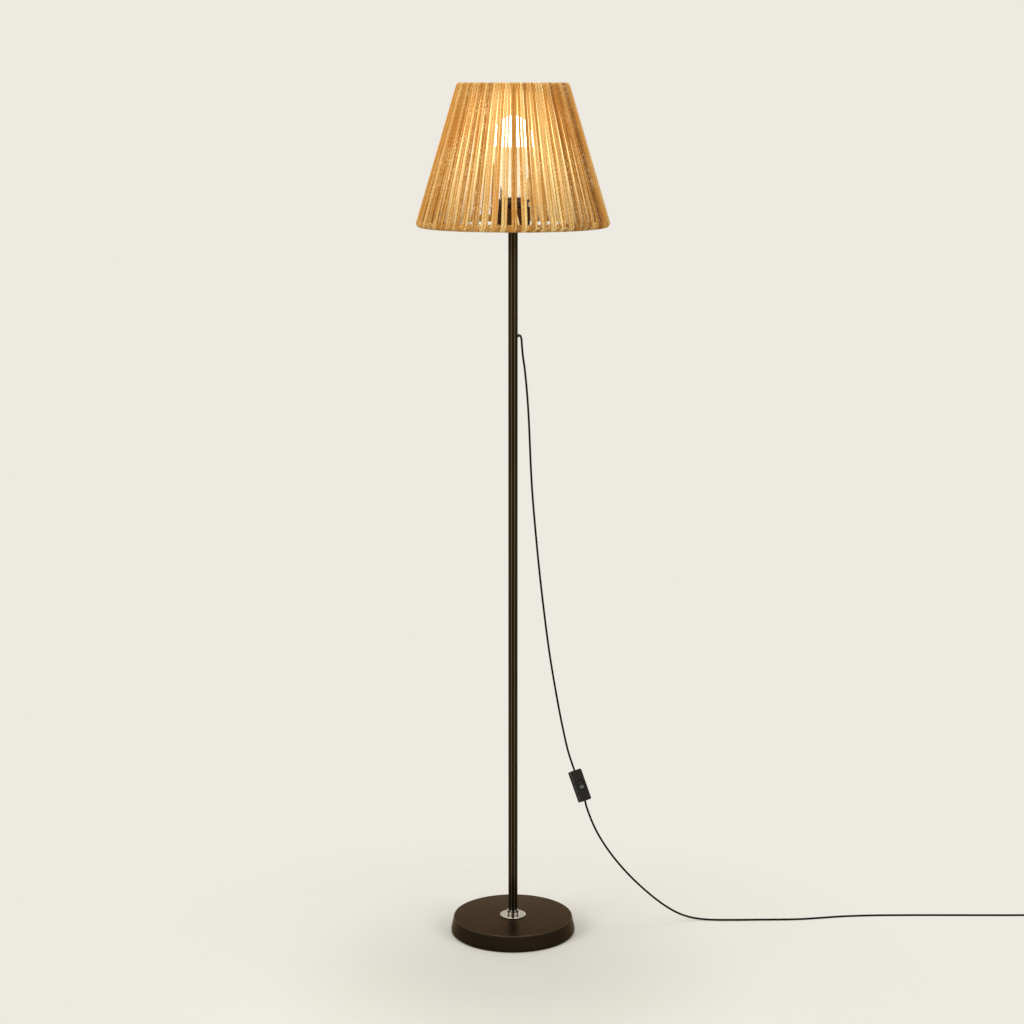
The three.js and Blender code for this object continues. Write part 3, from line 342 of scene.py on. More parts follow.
def rattan_finish():
    """Twisted two-ply cord, with fibres along the plies and a tone for each turn of it.

    The tones spread wider towards +X: painted light and shade of a side light. The light passes through the inner
    runs, which are painted cream, with a painted glow where the bulb's light reaches them. The creases between the
    plies carry painted shade, and the plies painted glints.
    """
    made = Finish("twisted_rattan_cord")
    along, tone, inside = made.fact("along"), made.fact("tone"), made.fact("inside")
    lobes = made.node("SeparateXYZ", made.node("Attribute", attribute_name="lobes").outputs["Vector"]).outputs
    x, _, z = made.node("SeparateXYZ", made.place).outputs

    lay, shift = 0.0068, 37.0
    phase = made.math("ADD", made.math("MULTIPLY", along, TURN / lay), made.math("MULTIPLY", tone, shift))
    ply = made.math(
        "ADD",
        made.math("MULTIPLY", lobes[0], made.math("COSINE", phase)),
        made.math("MULTIPLY", lobes[1], made.math("SINE", phase)),
    )
    height = made.math("SQRT", made.remap(ply, 0.02, 1, -1, 1))

    def on_cord(*scales):
        """A place for noise that is counted along the cord, across its plies and by its tone."""
        scaled = [made.math("MULTIPLY", value, scale) for value, scale in zip((along, ply, tone), scales)]
        return made.node("CombineXYZ", *scaled).outputs[0]

    fibres = made.noise(1.0, 4, 0.7, place=on_cord(260, 5, 23))
    body = made.mix(made.remap(fibres, 0, 1, 0.25, 0.75), (0.46, 0.185, 0.022, 1), (0.96, 0.55, 0.11, 1))
    made.set("Base Color", body)
    patches = made.remap(made.noise(45, 3, 0.6), 0, 0.4)
    made.tint(patches, (0.79, 0.37, 0.07, 1))
    # Tones spread wider towards +X: painted light and shade of a side light.
    side_light_contrast = made.remap(x, 0.45, 1, -0.08, 0.09)
    made.tint(made.math("MULTIPLY", side_light_contrast, made.remap(tone, 0, 1, 0, 0.8)), (0.97, 0.8, 0.36, 1))
    made.tint(made.math("MULTIPLY", side_light_contrast, made.remap(tone, 1, 0, -1, -0.15)), (0.31, 0.105, 0.012, 1))
    # Darker in the creases between the plies: painted shade.
    groove = made.remap(height, 0.5, 0, 0.1, 0.8)
    made.tint(groove, (0.29, 0.1, 0.012, 1))
    # Bright specks on the plies: painted glints.
    ply_glints = made.remap(made.noise(1.0, 1, 0.5, place=on_cord(430, 1.4, 51)), 0, 0.75, 0.54, 0.62)
    glint_clusters = made.remap(made.noise(16, 2), 0.15, 1, 0.42, 0.56)
    made.tint(made.math("MULTIPLY", ply_glints, glint_clusters), (0.97, 0.82, 0.42, 1))
    # The inner runs painted cream as if lit by the bulb; this is also the colour of light through them.
    colour = made.tint(made.math("MULTIPLY", inside, 0.75), (0.93, 0.85, 0.64, 1))

    # A painted glow on the inner runs, fading towards the bottom.
    lit = made.math("MULTIPLY", made.fact("lit"), made.remap(z, 0.12, 1, 1.27, 1.385))
    made.set("Emission Color", made.mix(lit, (0, 0, 0, 1), (1, 0.88, 0.5, 1)))
    made.set("Emission Strength", 1.8)
    made.set("Roughness", made.remap(fibres, 0.55, 0.8))
    made.set("Specular IOR Level", 0.3)
    made.bump(height, 0.0005)
    normal = made.bump(fibres, 0.0002, 0.6)
    made.blend(made.remap(inside, 0.3, 0.62, 0, 1), made.node("BsdfTranslucent", colour, normal))
    return made.material


pole_paint, base_paint, wire_paint = pole_finish(), base_finish(), wire_finish()
nut_chrome, washer_chrome = nut_finish(), washer_finish()
rocker_plastic, ring_plastic, white_plastic = rocker_finish(), ring_finish(), housing_finish()
glowing, rattan = glow_finish(), rattan_finish()


# Shapes, in millimetres

def piece(name, shape, material, body, nodes, sharp=32, facts=None):
    """A smooth mesh that rides on a body and stands for CAD nodes."""
    points, faces = shape
    data = bpy.data.meshes.new(name)
    data.from_pydata((np.asarray(points, float) * MM).tolist(), [], [list(face) for face in faces])
    for key, (kind, values) in (facts or {}).items():
        layer = data.attributes.new(key, kind, "POINT")
        field = "vector" if kind == "FLOAT_VECTOR" else "value"
        layer.data.foreach_set(field, np.asarray(values, np.float32).ravel())
    data.polygons.foreach_set("use_smooth", [True] * len(data.polygons))
    data.set_sharp_from_angle(angle=math.radians(sharp))
    data.materials.append(material)
    made = bpy.data.objects.new(name, data)
    scene.collection.objects.link(made)
    if nodes:
        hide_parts(*nodes)
    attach(made, body)
    return made


def rounded(corners, steps=4):
    """A closed outline through corners (x, y, fillet)."""
    nearly_straight = 1.55
    outline = []
    for index, (x, y, fillet) in enumerate(corners):
        here = np.array((x, y), float)
        back = np.array(corners[index - 1][:2], float) - here
        ahead = np.array(corners[(index + 1) % len(corners)][:2], float) - here
        room = 0.48 * min(np.linalg.norm(back), np.linalg.norm(ahead))
        back, ahead = unit(back), unit(ahead)
        half = math.acos(np.clip(back @ ahead, -1, 1)) / 2
        if not fillet or half > nearly_straight:
            outline.append(tuple(here))
            continue
        reach = min(fillet / math.tan(half), room)
        centre = here + unit(back + ahead) * reach / math.cos(half)
        start, end = here + back * reach - centre, here + ahead * reach - centre
        span = math.pi - 2 * half
        for step in range(steps + 1):
            share = step / steps
            spoke = (math.sin((1 - share) * span) * start + math.sin(share * span) * end) / math.sin(span)
            outline.append(tuple(centre + spoke))
    return outline


def turned(profile, steps):
    """A profile of (r, z), anticlockwise, turned about Z."""
    rows, points, faces = [], [], []
    for r, z in profile:
        if r < 1e-6:
            rows.append([len(points)] * steps)
            points.append((0, 0, z))
            continue
        rows.append(range(len(points), len(points) + steps))
        angles = [TURN * j / steps for j in range(steps)]
        points += [(r * math.cos(angle), r * math.sin(angle), z) for angle in angles]
    for low, high in zip(rows, rows[1:] + rows[:1]):
        for j in range(steps):
            k = (j + 1) % steps
            face = list(dict.fromkeys((low[j], low[k], high[k], high[j])))
            if len(face) > 2:
                faces.append(face)
    return points, faces


def lofted(rings, closed=False):
    """Faces through rings of points that run anticlockwise about the way ahead, capped unless they close."""
    rings = np.asarray(rings, float)
    count, sides = rings.shape[:2]
    faces = []
    for i in range(count if closed else count - 1):
        low, high = i * sides, ((i + 1) % count) * sides
        faces += [(low + j, low + (j + 1) % sides, high + (j + 1) % sides, high + j) for j in range(sides)]
    if not closed:
        faces.append(tuple(range(sides))[::-1])
        faces.append(tuple(range((count - 1) * sides, count * sides)))
    return rings.reshape(-1, 3), faces


def smooth_route(points, spans=8):
    """A centripetal spline through the points, as the CAD's cords follow."""
    points = np.asarray(points, float)
    points = np.vstack((2 * points[0] - points[1], points, 2 * points[-1] - points[-2]))
    path = []
    for before, start, end, after in zip(points, points[1:], points[2:], points[3:]):
        pairs = ((before, start), (start, end), (end, after))
        d0, d1, d2 = (max(np.linalg.norm(b - a), 1e-4) ** 0.5 for a, b in pairs)
        leave = ((start - before) / d0 - (end - before) / (d0 + d1) + (end - start) / d1) * d1
        arrive = ((end - start) / d1 - (after - start) / (d1 + d2) + (after - end) / d2) * d1
        for step in range(spans):
            t = step / spans
            path.append(
                (2 * t**3 - 3 * t**2 + 1) * start + (t**3 - 2 * t**2 + t) * leave
                + (3 * t**2 - 2 * t**3) * end + (t**3 - t**2) * arrive
            )
    path.append(points[-2])
    return np.array(path)


def unit(vectors):
    return vectors / np.linalg.norm(vectors, axis=-1, keepdims=True)


def tube(path, radius, sides=16):
    """A round tube along a path, without twist."""
    path = np.asarray(path, float)
    ahead = unit(np.gradient(path, axis=0))
    side = np.cross(ahead[0], (0.31, 0.47, 0.83))
    angles = TURN * np.arange(sides) / sides
    rings = []
    for middle, along in zip(path, ahead):
        side = unit(side - (side @ along) * along)
        up = np.cross(along, side)
        rings.append(middle + radius * (np.cos(angles)[:, None] * side + np.sin(angles)[:, None] * up))
    return lofted(rings)


def joined(*shapes):
    points, faces, start = [], [], 0
    for some, theirs in shapes:
        points.append(np.asarray(some, float))
        faces += [[start + corner for corner in face] for face in theirs]
        start += len(some)
    return np.vstack(points), faces


def placed(shape, matrix):
    """The shape moved by a 4x4 matrix."""
    points, faces = shape
    return np.asarray(points, float) @ matrix[:3, :3].T + matrix[:3, 3], faces


def axes(x, y, z, origin):
    matrix = np.eye(4)
    matrix[:3, 0], matrix[:3, 1], matrix[:3, 2], matrix[:3, 3] = x, y, z, origin
    return matrix


def shifted(origin):
    return axes(*np.eye(3), origin)


# Free cord: its route is the CAD's

GLAND_HEIGHT = 1060.0
OUT = np.array((math.cos(math.radians(70)), math.sin(math.radians(70)), 0))
LEAN, NOD, ROLL = math.radians(20.3), math.radians(18), math.radians(28)
SWITCH = np.array((119, 45, 253.6))
FLAT = np.array((math.cos(LEAN), 0, math.sin(LEAN)))
BACK = np.array((0, math.cos(NOD), 0)) - np.cross(FLAT, (0, 1, 0)) * math.sin(NOD)
DOWN = np.cross(BACK, FLAT)
SWITCH_SIDE = FLAT * math.cos(ROLL) + BACK * math.sin(ROLL)
SWITCH_FACE = FLAT * math.sin(ROLL) - BACK * math.cos(ROLL)
SWITCH_AXES = axes(SWITCH_SIDE, -DOWN, SWITCH_FACE, SWITCH)
SWITCH_INSIDE, SWITCH_END = 24, 28.8
PLUG = np.array((986.975, -29.8, 6.85))
CORD_RADIUS = 1.8
COIL_MIDDLE = (964, 43.5)
COIL_RADIUS, COIL_STEP, COIL_LOW = 24, 4.1, 2.6
COIL_TURNS, COIL_REVERSAL, COIL_CLIMB = 4.25, 2.25, 0.5
COIL_STATIONS = 204

upper_route = [
    (12.4, 34, 1058.8), (14.4, 40.4, 1052.6), (15.4, 44, 1040), (17, 45.2, 1022.5), (20, 45.7, 1001.7),
    (24.1, 46.8, 959.9), (27, 48.8, 917.8), (29, 51.6, 875.4), (30.8, 55, 832.6), (33.2, 58.8, 789.6),
    (36.5, 62.8, 746.3), (44.5, 70.6, 658.8), (54.2, 77, 570.7), (65.7, 80.2, 482.4), (80.5, 77.2, 395),
    (89, 72.2, 352.1), (98.9, 64, 310),
]
lower_route = [
    (130.6, 33.1, 219.1), (138.1, 28, 198.9), (147.6, 24.2, 177.9), (160, 21.4, 156.5), (174.9, 20, 134.6),
    (192.4, 20, 112.3), (212.6, 22, 89.2), (235.8, 26.4, 65.4), (261.8, 33, 41.3), (282.3, 38.8, 25.1),
    (300.8, 43.6, 13.6), (319, 46.4, 6.4), (337.1, 46.6, 3), (355, 45.4, 1.9), (373, 44.2, 1.9), (409, 44.2, 1.9),
    (445.3, 45.3, 1.9), (481.2, 45.8, 1.9), (517.5, 48, 1.9), (554.5, 54, 1.9), (591.8, 61, 1.9),
    (646.7, 66.2, 1.9), (700, 67.6, 1.9), (780, 67.8, 1.9), (860, 67.5, 1.9), (915, 67.5, 1.95),
]
coil_entry = (959.2, 67.5, 2.6)
tail_route = [(PLUG[0], y, z) for y, z in ((38, 6.75), (32, 6.84), (29.5, 6.85), (16, 6.85))]


def coil_point(turns):
    """Inwards on the floor to the reversal, up by one cord in the half turn round it, and outwards again."""
    r = COIL_RADIUS - COIL_STEP * min(turns, COIL_REVERSAL) + COIL_STEP * max(turns - COIL_REVERSAL, 0)
    angle = math.pi / 2 - TURN * turns
    climbed = min(max((turns - (COIL_REVERSAL - COIL_CLIMB / 2)) / COIL_CLIMB, 0), 1)
    x, y = COIL_MIDDLE
    return (x + r * math.cos(angle), y + r * math.sin(angle), COIL_LOW + COIL_STEP * climbed)


gland_middle = UP * GLAND_HEIGHT
upper_path = np.vstack((
    [OUT * 13 + gland_middle],
    smooth_route([OUT * 28.35 + gland_middle, *upper_route, SWITCH - DOWN * SWITCH_END]),
    [SWITCH - DOWN * SWITCH_INSIDE],
))
coil_path = [coil_point(COIL_TURNS * step / COIL_STATIONS) for step in range(COIL_STATIONS + 1)]
lower_path = np.vstack((
    [SWITCH + DOWN * SWITCH_INSIDE],
    smooth_route([SWITCH + DOWN * SWITCH_END, *lower_route, coil_entry])[:-1],
    coil_path,
    smooth_route([coil_path[-1], *tail_route], 4)[1:],
))
upper_cord = piece("cord_to_switch", tube(upper_path, CORD_RADIUS), jacket, "lamp", ["cord_upper"])
lower_cord = piece("cord_to_plug", tube(lower_path, CORD_RADIUS), jacket, "lamp", ["cord_lower", "cord_coil"])


def relief(root, tip, start, end, ribs):
    """Profile of a tapered, ribbed strain relief from start to end along its axis."""
    groove, step = 0.45, (end - start) / ribs
    profile = [(0, start)]
    for rib in range(ribs):
        low, high = start + (end - start) * rib / ribs, start + (end - start) * (rib + 0.62) / ribs
        here = root + (tip - root) * rib / ribs
        after = root + (tip - root) * (rib + 1) / ribs
        neck = min(after, here) - groove
        profile += [(here, low + 0.08 * step), (here, high - 0.06 * step)]
        profile += [(neck, high + 0.04 * step), (neck, low + 0.94 * step)]
    profile[-2:] = [(tip, end - 1.2), (tip, end - 0.25)]
    return [*profile, (tip - 0.3, end), (0, end)]


gland_axes = axes(np.cross(UP, OUT), UP, OUT, gland_middle)
flange = [(3, 5.65), (3, 8.35), (4.8, 8.35), (5, 8.55), (5, 9.55), (4.8, 9.85)]
gland_profile = [(0, 5.65), *flange, *relief(4, 2.5, 9.85, 28.05, 6)[1:]]
gland = piece(
    "cord_gland_ribbed", placed(turned(gland_profile, 32), gland_axes), plastic, "lamp", ["cord_gland"]
)


def coil_strap():
    """The band round the coil, closed, with rounded corners."""
    outline = rounded([(12.425, 0.25, 2), (26.35, 0.25, 2), (26.35, 9.05, 2), (12.425, 9.05, 2)], 6)
    section = rounded([(2.5, -0.25, 0.2), (2.5, 0.25, 0.2), (-2.5, 0.25, 0.2), (-2.5, -0.25, 0.2)], 2)
    azimuth = math.radians(225)
    away = np.array((math.cos(azimuth), math.sin(azimuth), 0))
    across = np.cross(UP, away)
    path = np.array([np.array((*COIL_MIDDLE, 0)) + away * r + UP * z for r, z in outline])
    ahead = unit(np.roll(path, -1, axis=0) - np.roll(path, 1, axis=0))
    out = np.cross(ahead, across)
    rings = [[point + a * across + b * normal for a, b in section] for point, normal in zip(path, out)]
    return lofted(rings, closed=True)


tie = piece("coil_strap", coil_strap(), plastic, "lamp", ["coil_tie"])


# Switch, drawn with its length along y and its face towards +z

SHELL_WIDTH, SHELL_LENGTH, SHELL_CORNER = 21.4, 57, 2.6
SHELL_SIDE, SHELL_EDGE = 5.9, 1.6
SEAM = 0.15
ROCKER_HALF, ROCKER_STATIONS = 7.5, 24
ROCKER_AXLE, ROCKER_TILT = 2.9, math.radians(-9)


def slab_outline(width, length, corner, count=10):
    x, y = width / 2, length / 2
    return np.array(rounded([(x, y, corner), (-x, y, corner), (-x, -y, corner), (x, -y, corner)], count))


def slab_rings(levels):
    """Rings from (width, length, corner, z) levels, each with as many points."""
    outlines = [(slab_outline(width, length, corner), z) for width, length, corner, z in levels]
    return [np.column_stack((outline, np.full(len(outline), z))) for outline, z in outlines]


def switch_half(front):
    """The cover with the opening for its rocker, or the base without one."""
    shell = (SHELL_WIDTH, SHELL_LENGTH, SHELL_CORNER)
    levels = [(21, 56.6, 2.4, SEAM), (*shell, 0.4), (*shell, SHELL_SIDE)]
    for step in range(1, 7):
        angle = math.pi / 2 * step / 6
        inset, rise = SHELL_EDGE * (1 - math.cos(angle)), SHELL_EDGE * math.sin(angle)
        smaller = (SHELL_WIDTH - 2 * inset, SHELL_LENGTH - 2 * inset, SHELL_CORNER - inset * 0.8)
        levels.append((*smaller, SHELL_SIDE + rise))
    if not front:
        return lofted(slab_rings([(width, length, corner, -z) for width, length, corner, z in levels])[::-1])
    levels += [
        (14, 20.8, 6.99, 7.5), (13.5, 20.4, 6.7, 7.2), (11.6, 19.2, 5.6, 6.1),
        (10.2, 18.2, 4.4, 5.9), (9.4, 17, 2.2, 5.9), (9.4, 17, 2.2, SEAM),
    ]
    return lofted(slab_rings(levels), closed=True)


def side_ridge():
    """A long low ridge on each side of the cover's edge."""
    wall, height = 10.5, 0.45
    shapes = []
    for side in (-1, 1):
        rings = []
        for y, size in ((-19, 0.2), (-18, 0.8), (-16, 1), (16, 1), (18, 0.8), (19, 0.2)):
            top = wall + height * size
            outline = rounded([(wall, 1.2, 0.3), (top, 1.5, 0.3), (top, 3.3, 0.3), (wall, 3.6, 0.3)], 2)
            ring = [(side * x, y, z) for x, z in outline]
            rings.append(ring if side < 0 else ring[::-1])
        shapes.append(lofted(rings))
    return joined(*shapes)


def rocker_shape():
    """The rocker: a dished top between raised ends, rounded all over, and the share of its painted highlight."""
    rings, lit_end_share = [], []
    for step in range(ROCKER_STATIONS + 1):
        y = -ROCKER_HALF + 2 * ROCKER_HALF * step / ROCKER_STATIONS
        out = abs(y) / ROCKER_HALF
        dish = 3.9 + 1.1 * out**2 - 7.8 * max(out - 0.9, 0)
        foot = -2.5 + 1.3 * out**2
        narrow = 4.2 - 6.3 * max(out - 0.86, 0)
        outline = rounded([(narrow, foot, 0.4), (narrow, dish, 0.9), (-narrow, dish, 0.9), (-narrow, foot, 0.4)], 3)
        rings.append([(x, y, z) for x, z in outline][::-1])
        # The raised end takes the painted highlight.
        lit_end_share += [min(max((-0.6 - y) / 1.6, 0), 1)] * len(outline)
    return lofted(rings), {"lit_end_share": ("FLOAT", lit_end_share)}


ahead, above = math.cos(ROCKER_TILT), math.sin(ROCKER_TILT)
rocker_axes = SWITCH_AXES @ axes((1, 0, 0), (0, ahead, above), (0, -above, ahead), (0, 0, ROCKER_AXLE))
screw_axes = SWITCH_AXES @ shifted((0, -19.5, 0))
screw_head = [(0, 4.6), (2.1, 4.6), (2.1, 6.7), (1.9, 7.0), (1.1, 7.15), (0.5, 7.1), (0, 6.6)]
cover = piece(
    "switch_cover_smooth", placed(switch_half(True), SWITCH_AXES), plastic, "lamp", ["switch_cover"], 40
)
back = piece(
    "switch_base_smooth", placed(switch_half(False), SWITCH_AXES), shaded_back_plastic, "lamp", ["switch_base"], 40
)
ridges = piece("switch_ridges", placed(side_ridge(), SWITCH_AXES), plastic, "lamp", (), 40)
rocker_mesh, rocker_facts = rocker_shape()
rocker = piece(
    "switch_rocker_dished", placed(rocker_mesh, rocker_axes), rocker_plastic, "rocker", ["switch_rocker"], 40,
    rocker_facts,
)
screw = piece(
    "switch_screw_head", placed(turned(screw_head, 24), screw_axes), steel, "lamp", ["switch_screw"]
)


# Plug, drawn with its cord end towards +y

def plug_shape():
    """The flat body, which tapers to its strain relief."""
    waist, taper, corner = 13, 21, 4.8
    stations = [
        (0, 31.4, 10.1, 3.2), (0.5, 33.4, 12.1, 4), (1.8, 34.7, 13.4, 4.6), (4, 35, 13.7, corner),
        (waist, 35, 13.7, corner),
    ]
    for step in range(1, 11):
        share = step / 10
        eased = share * share * (3 - 2 * share)
        stations.append((waist + taper * share, 35 - 20 * eased, 13.7 - 1.7 * eased, corner))
    stations += [(34.7, 13.6, 10.8, corner), (35, 11.4, 9.2, 4.2)]
    rings = []
    for y, width, thick, fillet in stations:
        outline = slab_outline(width, thick, min(fillet, thick / 2 - 0.3), 6)
        rings.append([(x, y, z) for x, z in outline][::-1])
    return lofted(rings)


along_y = axes((0, 0, 1), (1, 0, 0), (0, 1, 0), (0, 0, 0))
plug_relief = placed(turned(relief(4.8, 2.7, 34, 59, 8), 32), along_y)
plug_body = placed(joined(plug_shape(), plug_relief), shifted(PLUG))
plug = piece("plug_moulded", plug_body, plastic, "lamp", ["plug_body"], 40)
pin_outline = rounded([(0, -5.7, 0), (1.97, -5.7, 0), (1.97, 19, 0.8), (0, 19, 0)], 5)
sleeve_outline = rounded([(1.9, -1, 0), (2, -1, 0), (2, 9.5, 0.2), (1.9, 9.6, 0)], 3)
for number, x in ((1, -9.5), (2, 9.5)):
    spot = axes((0, 0, 1), (-1, 0, 0), (0, -1, 0), PLUG + (x, 0, 0))
    pin, sleeve = placed(turned(pin_outline, 28), spot), placed(turned(sleeve_outline, 28), spot)
    piece(f"plug_pin_{number}_bright", pin, chrome, "lamp", [f"plug_pin_{number}"])
    piece(f"plug_pin_{number}_sleeve", sleeve, plastic, "lamp", ())


# Base

base_outline = [
    (5.3, 28.3, 0), (5.3, 27.1, 0), (102.6, 27.1, 1), (108.2, 7.2, 1), (108.4, 1.0, 0.4), (109.2, 1.0, 0.6),
    (109.6, 2.4, 1.2), (109.6, 6.6, 3.4), (104.75, 28.3, 1.5),
]
piece("base_cover_smooth", turned(rounded(base_outline, 6), 192), base_paint, "lamp", ["base_cover"], 50)
pad_outline = [(0, 0, 0), (108.1, 0, 0.5), (108.1, 2, 0.5), (0, 2, 0)]
piece("base_pad_smooth", turned(rounded(pad_outline, 3), 160), felt, "lamp", ["base_pad"])
washer_outline = [(5.3, 28.6, 0), (22.8, 28.6, 0.2), (22.8, 30.1, 0.5), (22.0, 30.4, 0.4), (5.3, 30.4, 0)]
piece("base_washer_turned", turned(rounded(washer_outline, 4), 128), washer_chrome, "lamp", ["base_washer"])


def chamfered_nut(flats, hole, bottom, height, sides=96):
    """A hexagon nut with its corners turned off to a cone at both ends, and a corner towards -Y."""
    sector, slope, bevel = math.pi / 3, math.radians(30), 0.4
    inner = flats / 2
    angles = [-math.pi / 2 + TURN * j / sides for j in range(sides)]
    asides = [(angle + math.pi / 2 + sector / 2) % sector - sector / 2 for angle in angles]
    reach = [inner / math.cos(sector / 2 - abs(aside)) for aside in asides]
    circle = inner * 0.985
    drop = [max(r - circle, 0) * math.tan(slope) for r in reach]
    top = bottom + height
    rings = []
    for radii, heights in (
        ([hole] * sides, [bottom] * sides),
        ([circle] * sides, [bottom] * sides),
        (reach, [bottom + d for d in drop]),
        (reach, [top - d for d in drop]),
        ([circle] * sides, [top] * sides),
        ([hole + bevel] * sides, [top] * sides),
        ([hole] * sides, [top - bevel] * sides),
    ):
        rings.append([(r * math.cos(a), r * math.sin(a), z) for r, a, z in zip(radii, angles, heights)])
    return lofted(rings, closed=True)


piece("base_nut_chamfered", chamfered_nut(19, 5.3, 30.7, 8), nut_chrome, "lamp", ["base_nut"], 20)


# Pole

BORE, POLE = 6.85, 8.05
for name, low, high in (("lower", 39.0, 439.8), ("middle", 440.1, 840.9), ("upper", 841.2, 1242.0)):
    pipe = rounded([(BORE, low, 0), (POLE, low, 0.12), (POLE, high, 0.12), (BORE, high, 0)], 2)
    piece(f"pole_{name}_tube", turned(pipe, 64), pole_paint, "lamp", [f"pole_{name}"])


# Cup, ring and bulb

cup_outline = [
    (5.3, 1242.3, 0.2), (28.5, 1242.3, 7), (28.5, 1279.0, 0.5), (27.0, 1279.0, 0.5), (27.0, 1243.8, 5.5),
    (5.3, 1243.8, 0),
]
piece("lamp_cup_smooth", turned(rounded(cup_outline, 10), 96), cup_finish, "lamp", ["lamp_cup"])
thread = [(19 - 0.45 * (ridge % 2), 1281.4 + 0.9 * ridge, 0) for ridge in range(13)]
skirt_outline = [
    (17, 1266.5, 0), (19, 1266.5, 0.3), (19, 1277.0, 0), (26.7, 1277.0, 0.4), (26.7, 1279.4, 0.4),
    (24.3, 1280.5, 0.6), (19, 1280.5, 0), *thread, (19, 1293.5, 0.3), (17, 1293.5, 0.3),
]
piece("holder_skirt_threaded", turned(rounded(skirt_outline, 3), 72), plastic, "lamp", ["holder_skirt"])
ring_outline = [
    (19.3, 1285.1, 0.3), (26.3, 1285.1, 0.5), (26.3, 1287.3, 0), (28.5, 1287.3, 0.5), (28.5, 1292.0, 0.8),
    (19.3, 1292.0, 0.4),
]
ring_shape = turned(rounded(ring_outline, 4), 180)
piece("shade_ring_knurled", ring_shape, ring_plastic, "shade_ring", ["shade_ring"])

housing_radii = (15.96, 19.0, 24.3, 31.2, 36.1, 38.0)
housing_heights = (1296.3, 1308.0, 1326.4, 1349.9, 1368.3, 1380.0)
NECK, NECK_FOOT, HOUSING_WALL = 11.7, 1290.3, 2
DOME_FOOT, DOME_STEPS = 1380.3, 20


def housing_profile():
    """The flared housing with a soft outline, hollow above."""
    heights = np.linspace(housing_heights[0], housing_heights[-1], 28)
    radii = np.interp(heights, housing_heights, housing_radii)
    soft = np.convolve(np.pad(radii, 2, mode="edge"), np.ones(5) / 5, mode="valid")
    soft = np.minimum(soft, housing_radii[-1])
    soft[:2], soft[-2:] = radii[:2], radii[-2:]
    outer = list(zip(soft, heights))
    inner = [(r - HOUSING_WALL, z) for r, z in outer[3:]][::-1]
    return [(0, NECK_FOOT), (NECK, NECK_FOOT), (NECK, heights[0]), *outer, *inner, (0, inner[-1][1])]


def dome_arc(radius, height):
    """A quarter of an ellipse from the dome's foot up to its axis."""
    arc = [math.pi / 2 * step / DOME_STEPS for step in range(DOME_STEPS)]
    return [*((radius * math.cos(a), DOME_FOOT + height * math.sin(a)) for a in arc), (0, DOME_FOOT + height)]


piece("bulb_housing_flared", turned(housing_profile(), 96), white_plastic, "bulb", ["bulb_housing"])
dome_profile = [*dome_arc(36.5, 48.2)[::-1], *dome_arc(38, 49.7)]
piece("bulb_dome_opal", turned(dome_profile, 96), glowing, "bulb", ["bulb_dome"])


# Shade: the wire ring and spokes that carry it, and its windings

FITTER_RADIUS, FITTER_HEIGHT, FITTER_WIRE = 24, 1282.8, 2
SPOKE_REACH, SPOKE_DROP, FIRST_SPOKE = 130.3, 29.1, -86.2


def fitter():
    """A wire ring round the lampholder with three spokes that fall outwards to the shade's wall."""
    wire = TURN * np.arange(14) / 14
    rings = []
    for turn in TURN * np.arange(96) / 96:
        out = np.array((math.cos(turn), math.sin(turn), 0))
        middle = FITTER_RADIUS * out + FITTER_HEIGHT * UP
        rings.append([middle + FITTER_WIRE * (math.cos(a) * out + math.sin(a) * UP) for a in wire])
    points, faces = lofted(rings, closed=True)
    shapes = [(points, [face[::-1] for face in faces])]
    for number in range(3):
        turn = math.radians(FIRST_SPOKE + 120 * number)
        out = np.array((math.cos(turn), math.sin(turn), 0))
        spoke = [
            out * (FITTER_RADIUS + SPOKE_REACH * share) + UP * (FITTER_HEIGHT - SPOKE_DROP * share)
            for share in np.linspace(0, 1, 12)
        ]
        shapes.append(tube(spoke, FITTER_WIRE, 14))
    return joined(*shapes)


piece("shade_fitter_wire", fitter(), wire_paint, "shade", ["shade_fitter"])

# The windings' places are (r, z) on the shade's wall and angles round it. Each loop is a pair of cords, followed on
# the lower rim by two short wraps.
WINDINGS, LOOPS = 10, 6
PITCH = TURN / (WINDINGS * LOOPS)
FRONT = math.radians(0.8 - 90)
WALL = np.array((-0.2877, 0.9577))
NORMAL = np.array((0.9577, 0.2877))
LOWER, UPPER = np.array((156.6, 1252.3)), np.array((88.8, 1478.0))
OFFSET, THICK = 4.5, 2.1
PAIR = ((-0.01472, -0.02618), (0.01472, 0.02618))
WRAPS = (0.03994, 0.06516)
RIM_HALF, RIM_SWELL, CROWN_HALF = 2.02, 0.08, 2.16
OUTER_HALF, INNER_HALF, PAIR_SHARE = 2.24, 1.3, 0.46
RIM_LEAN = 1.2 / 161


def between(value, low, high):
    return min(max(value, low), high)


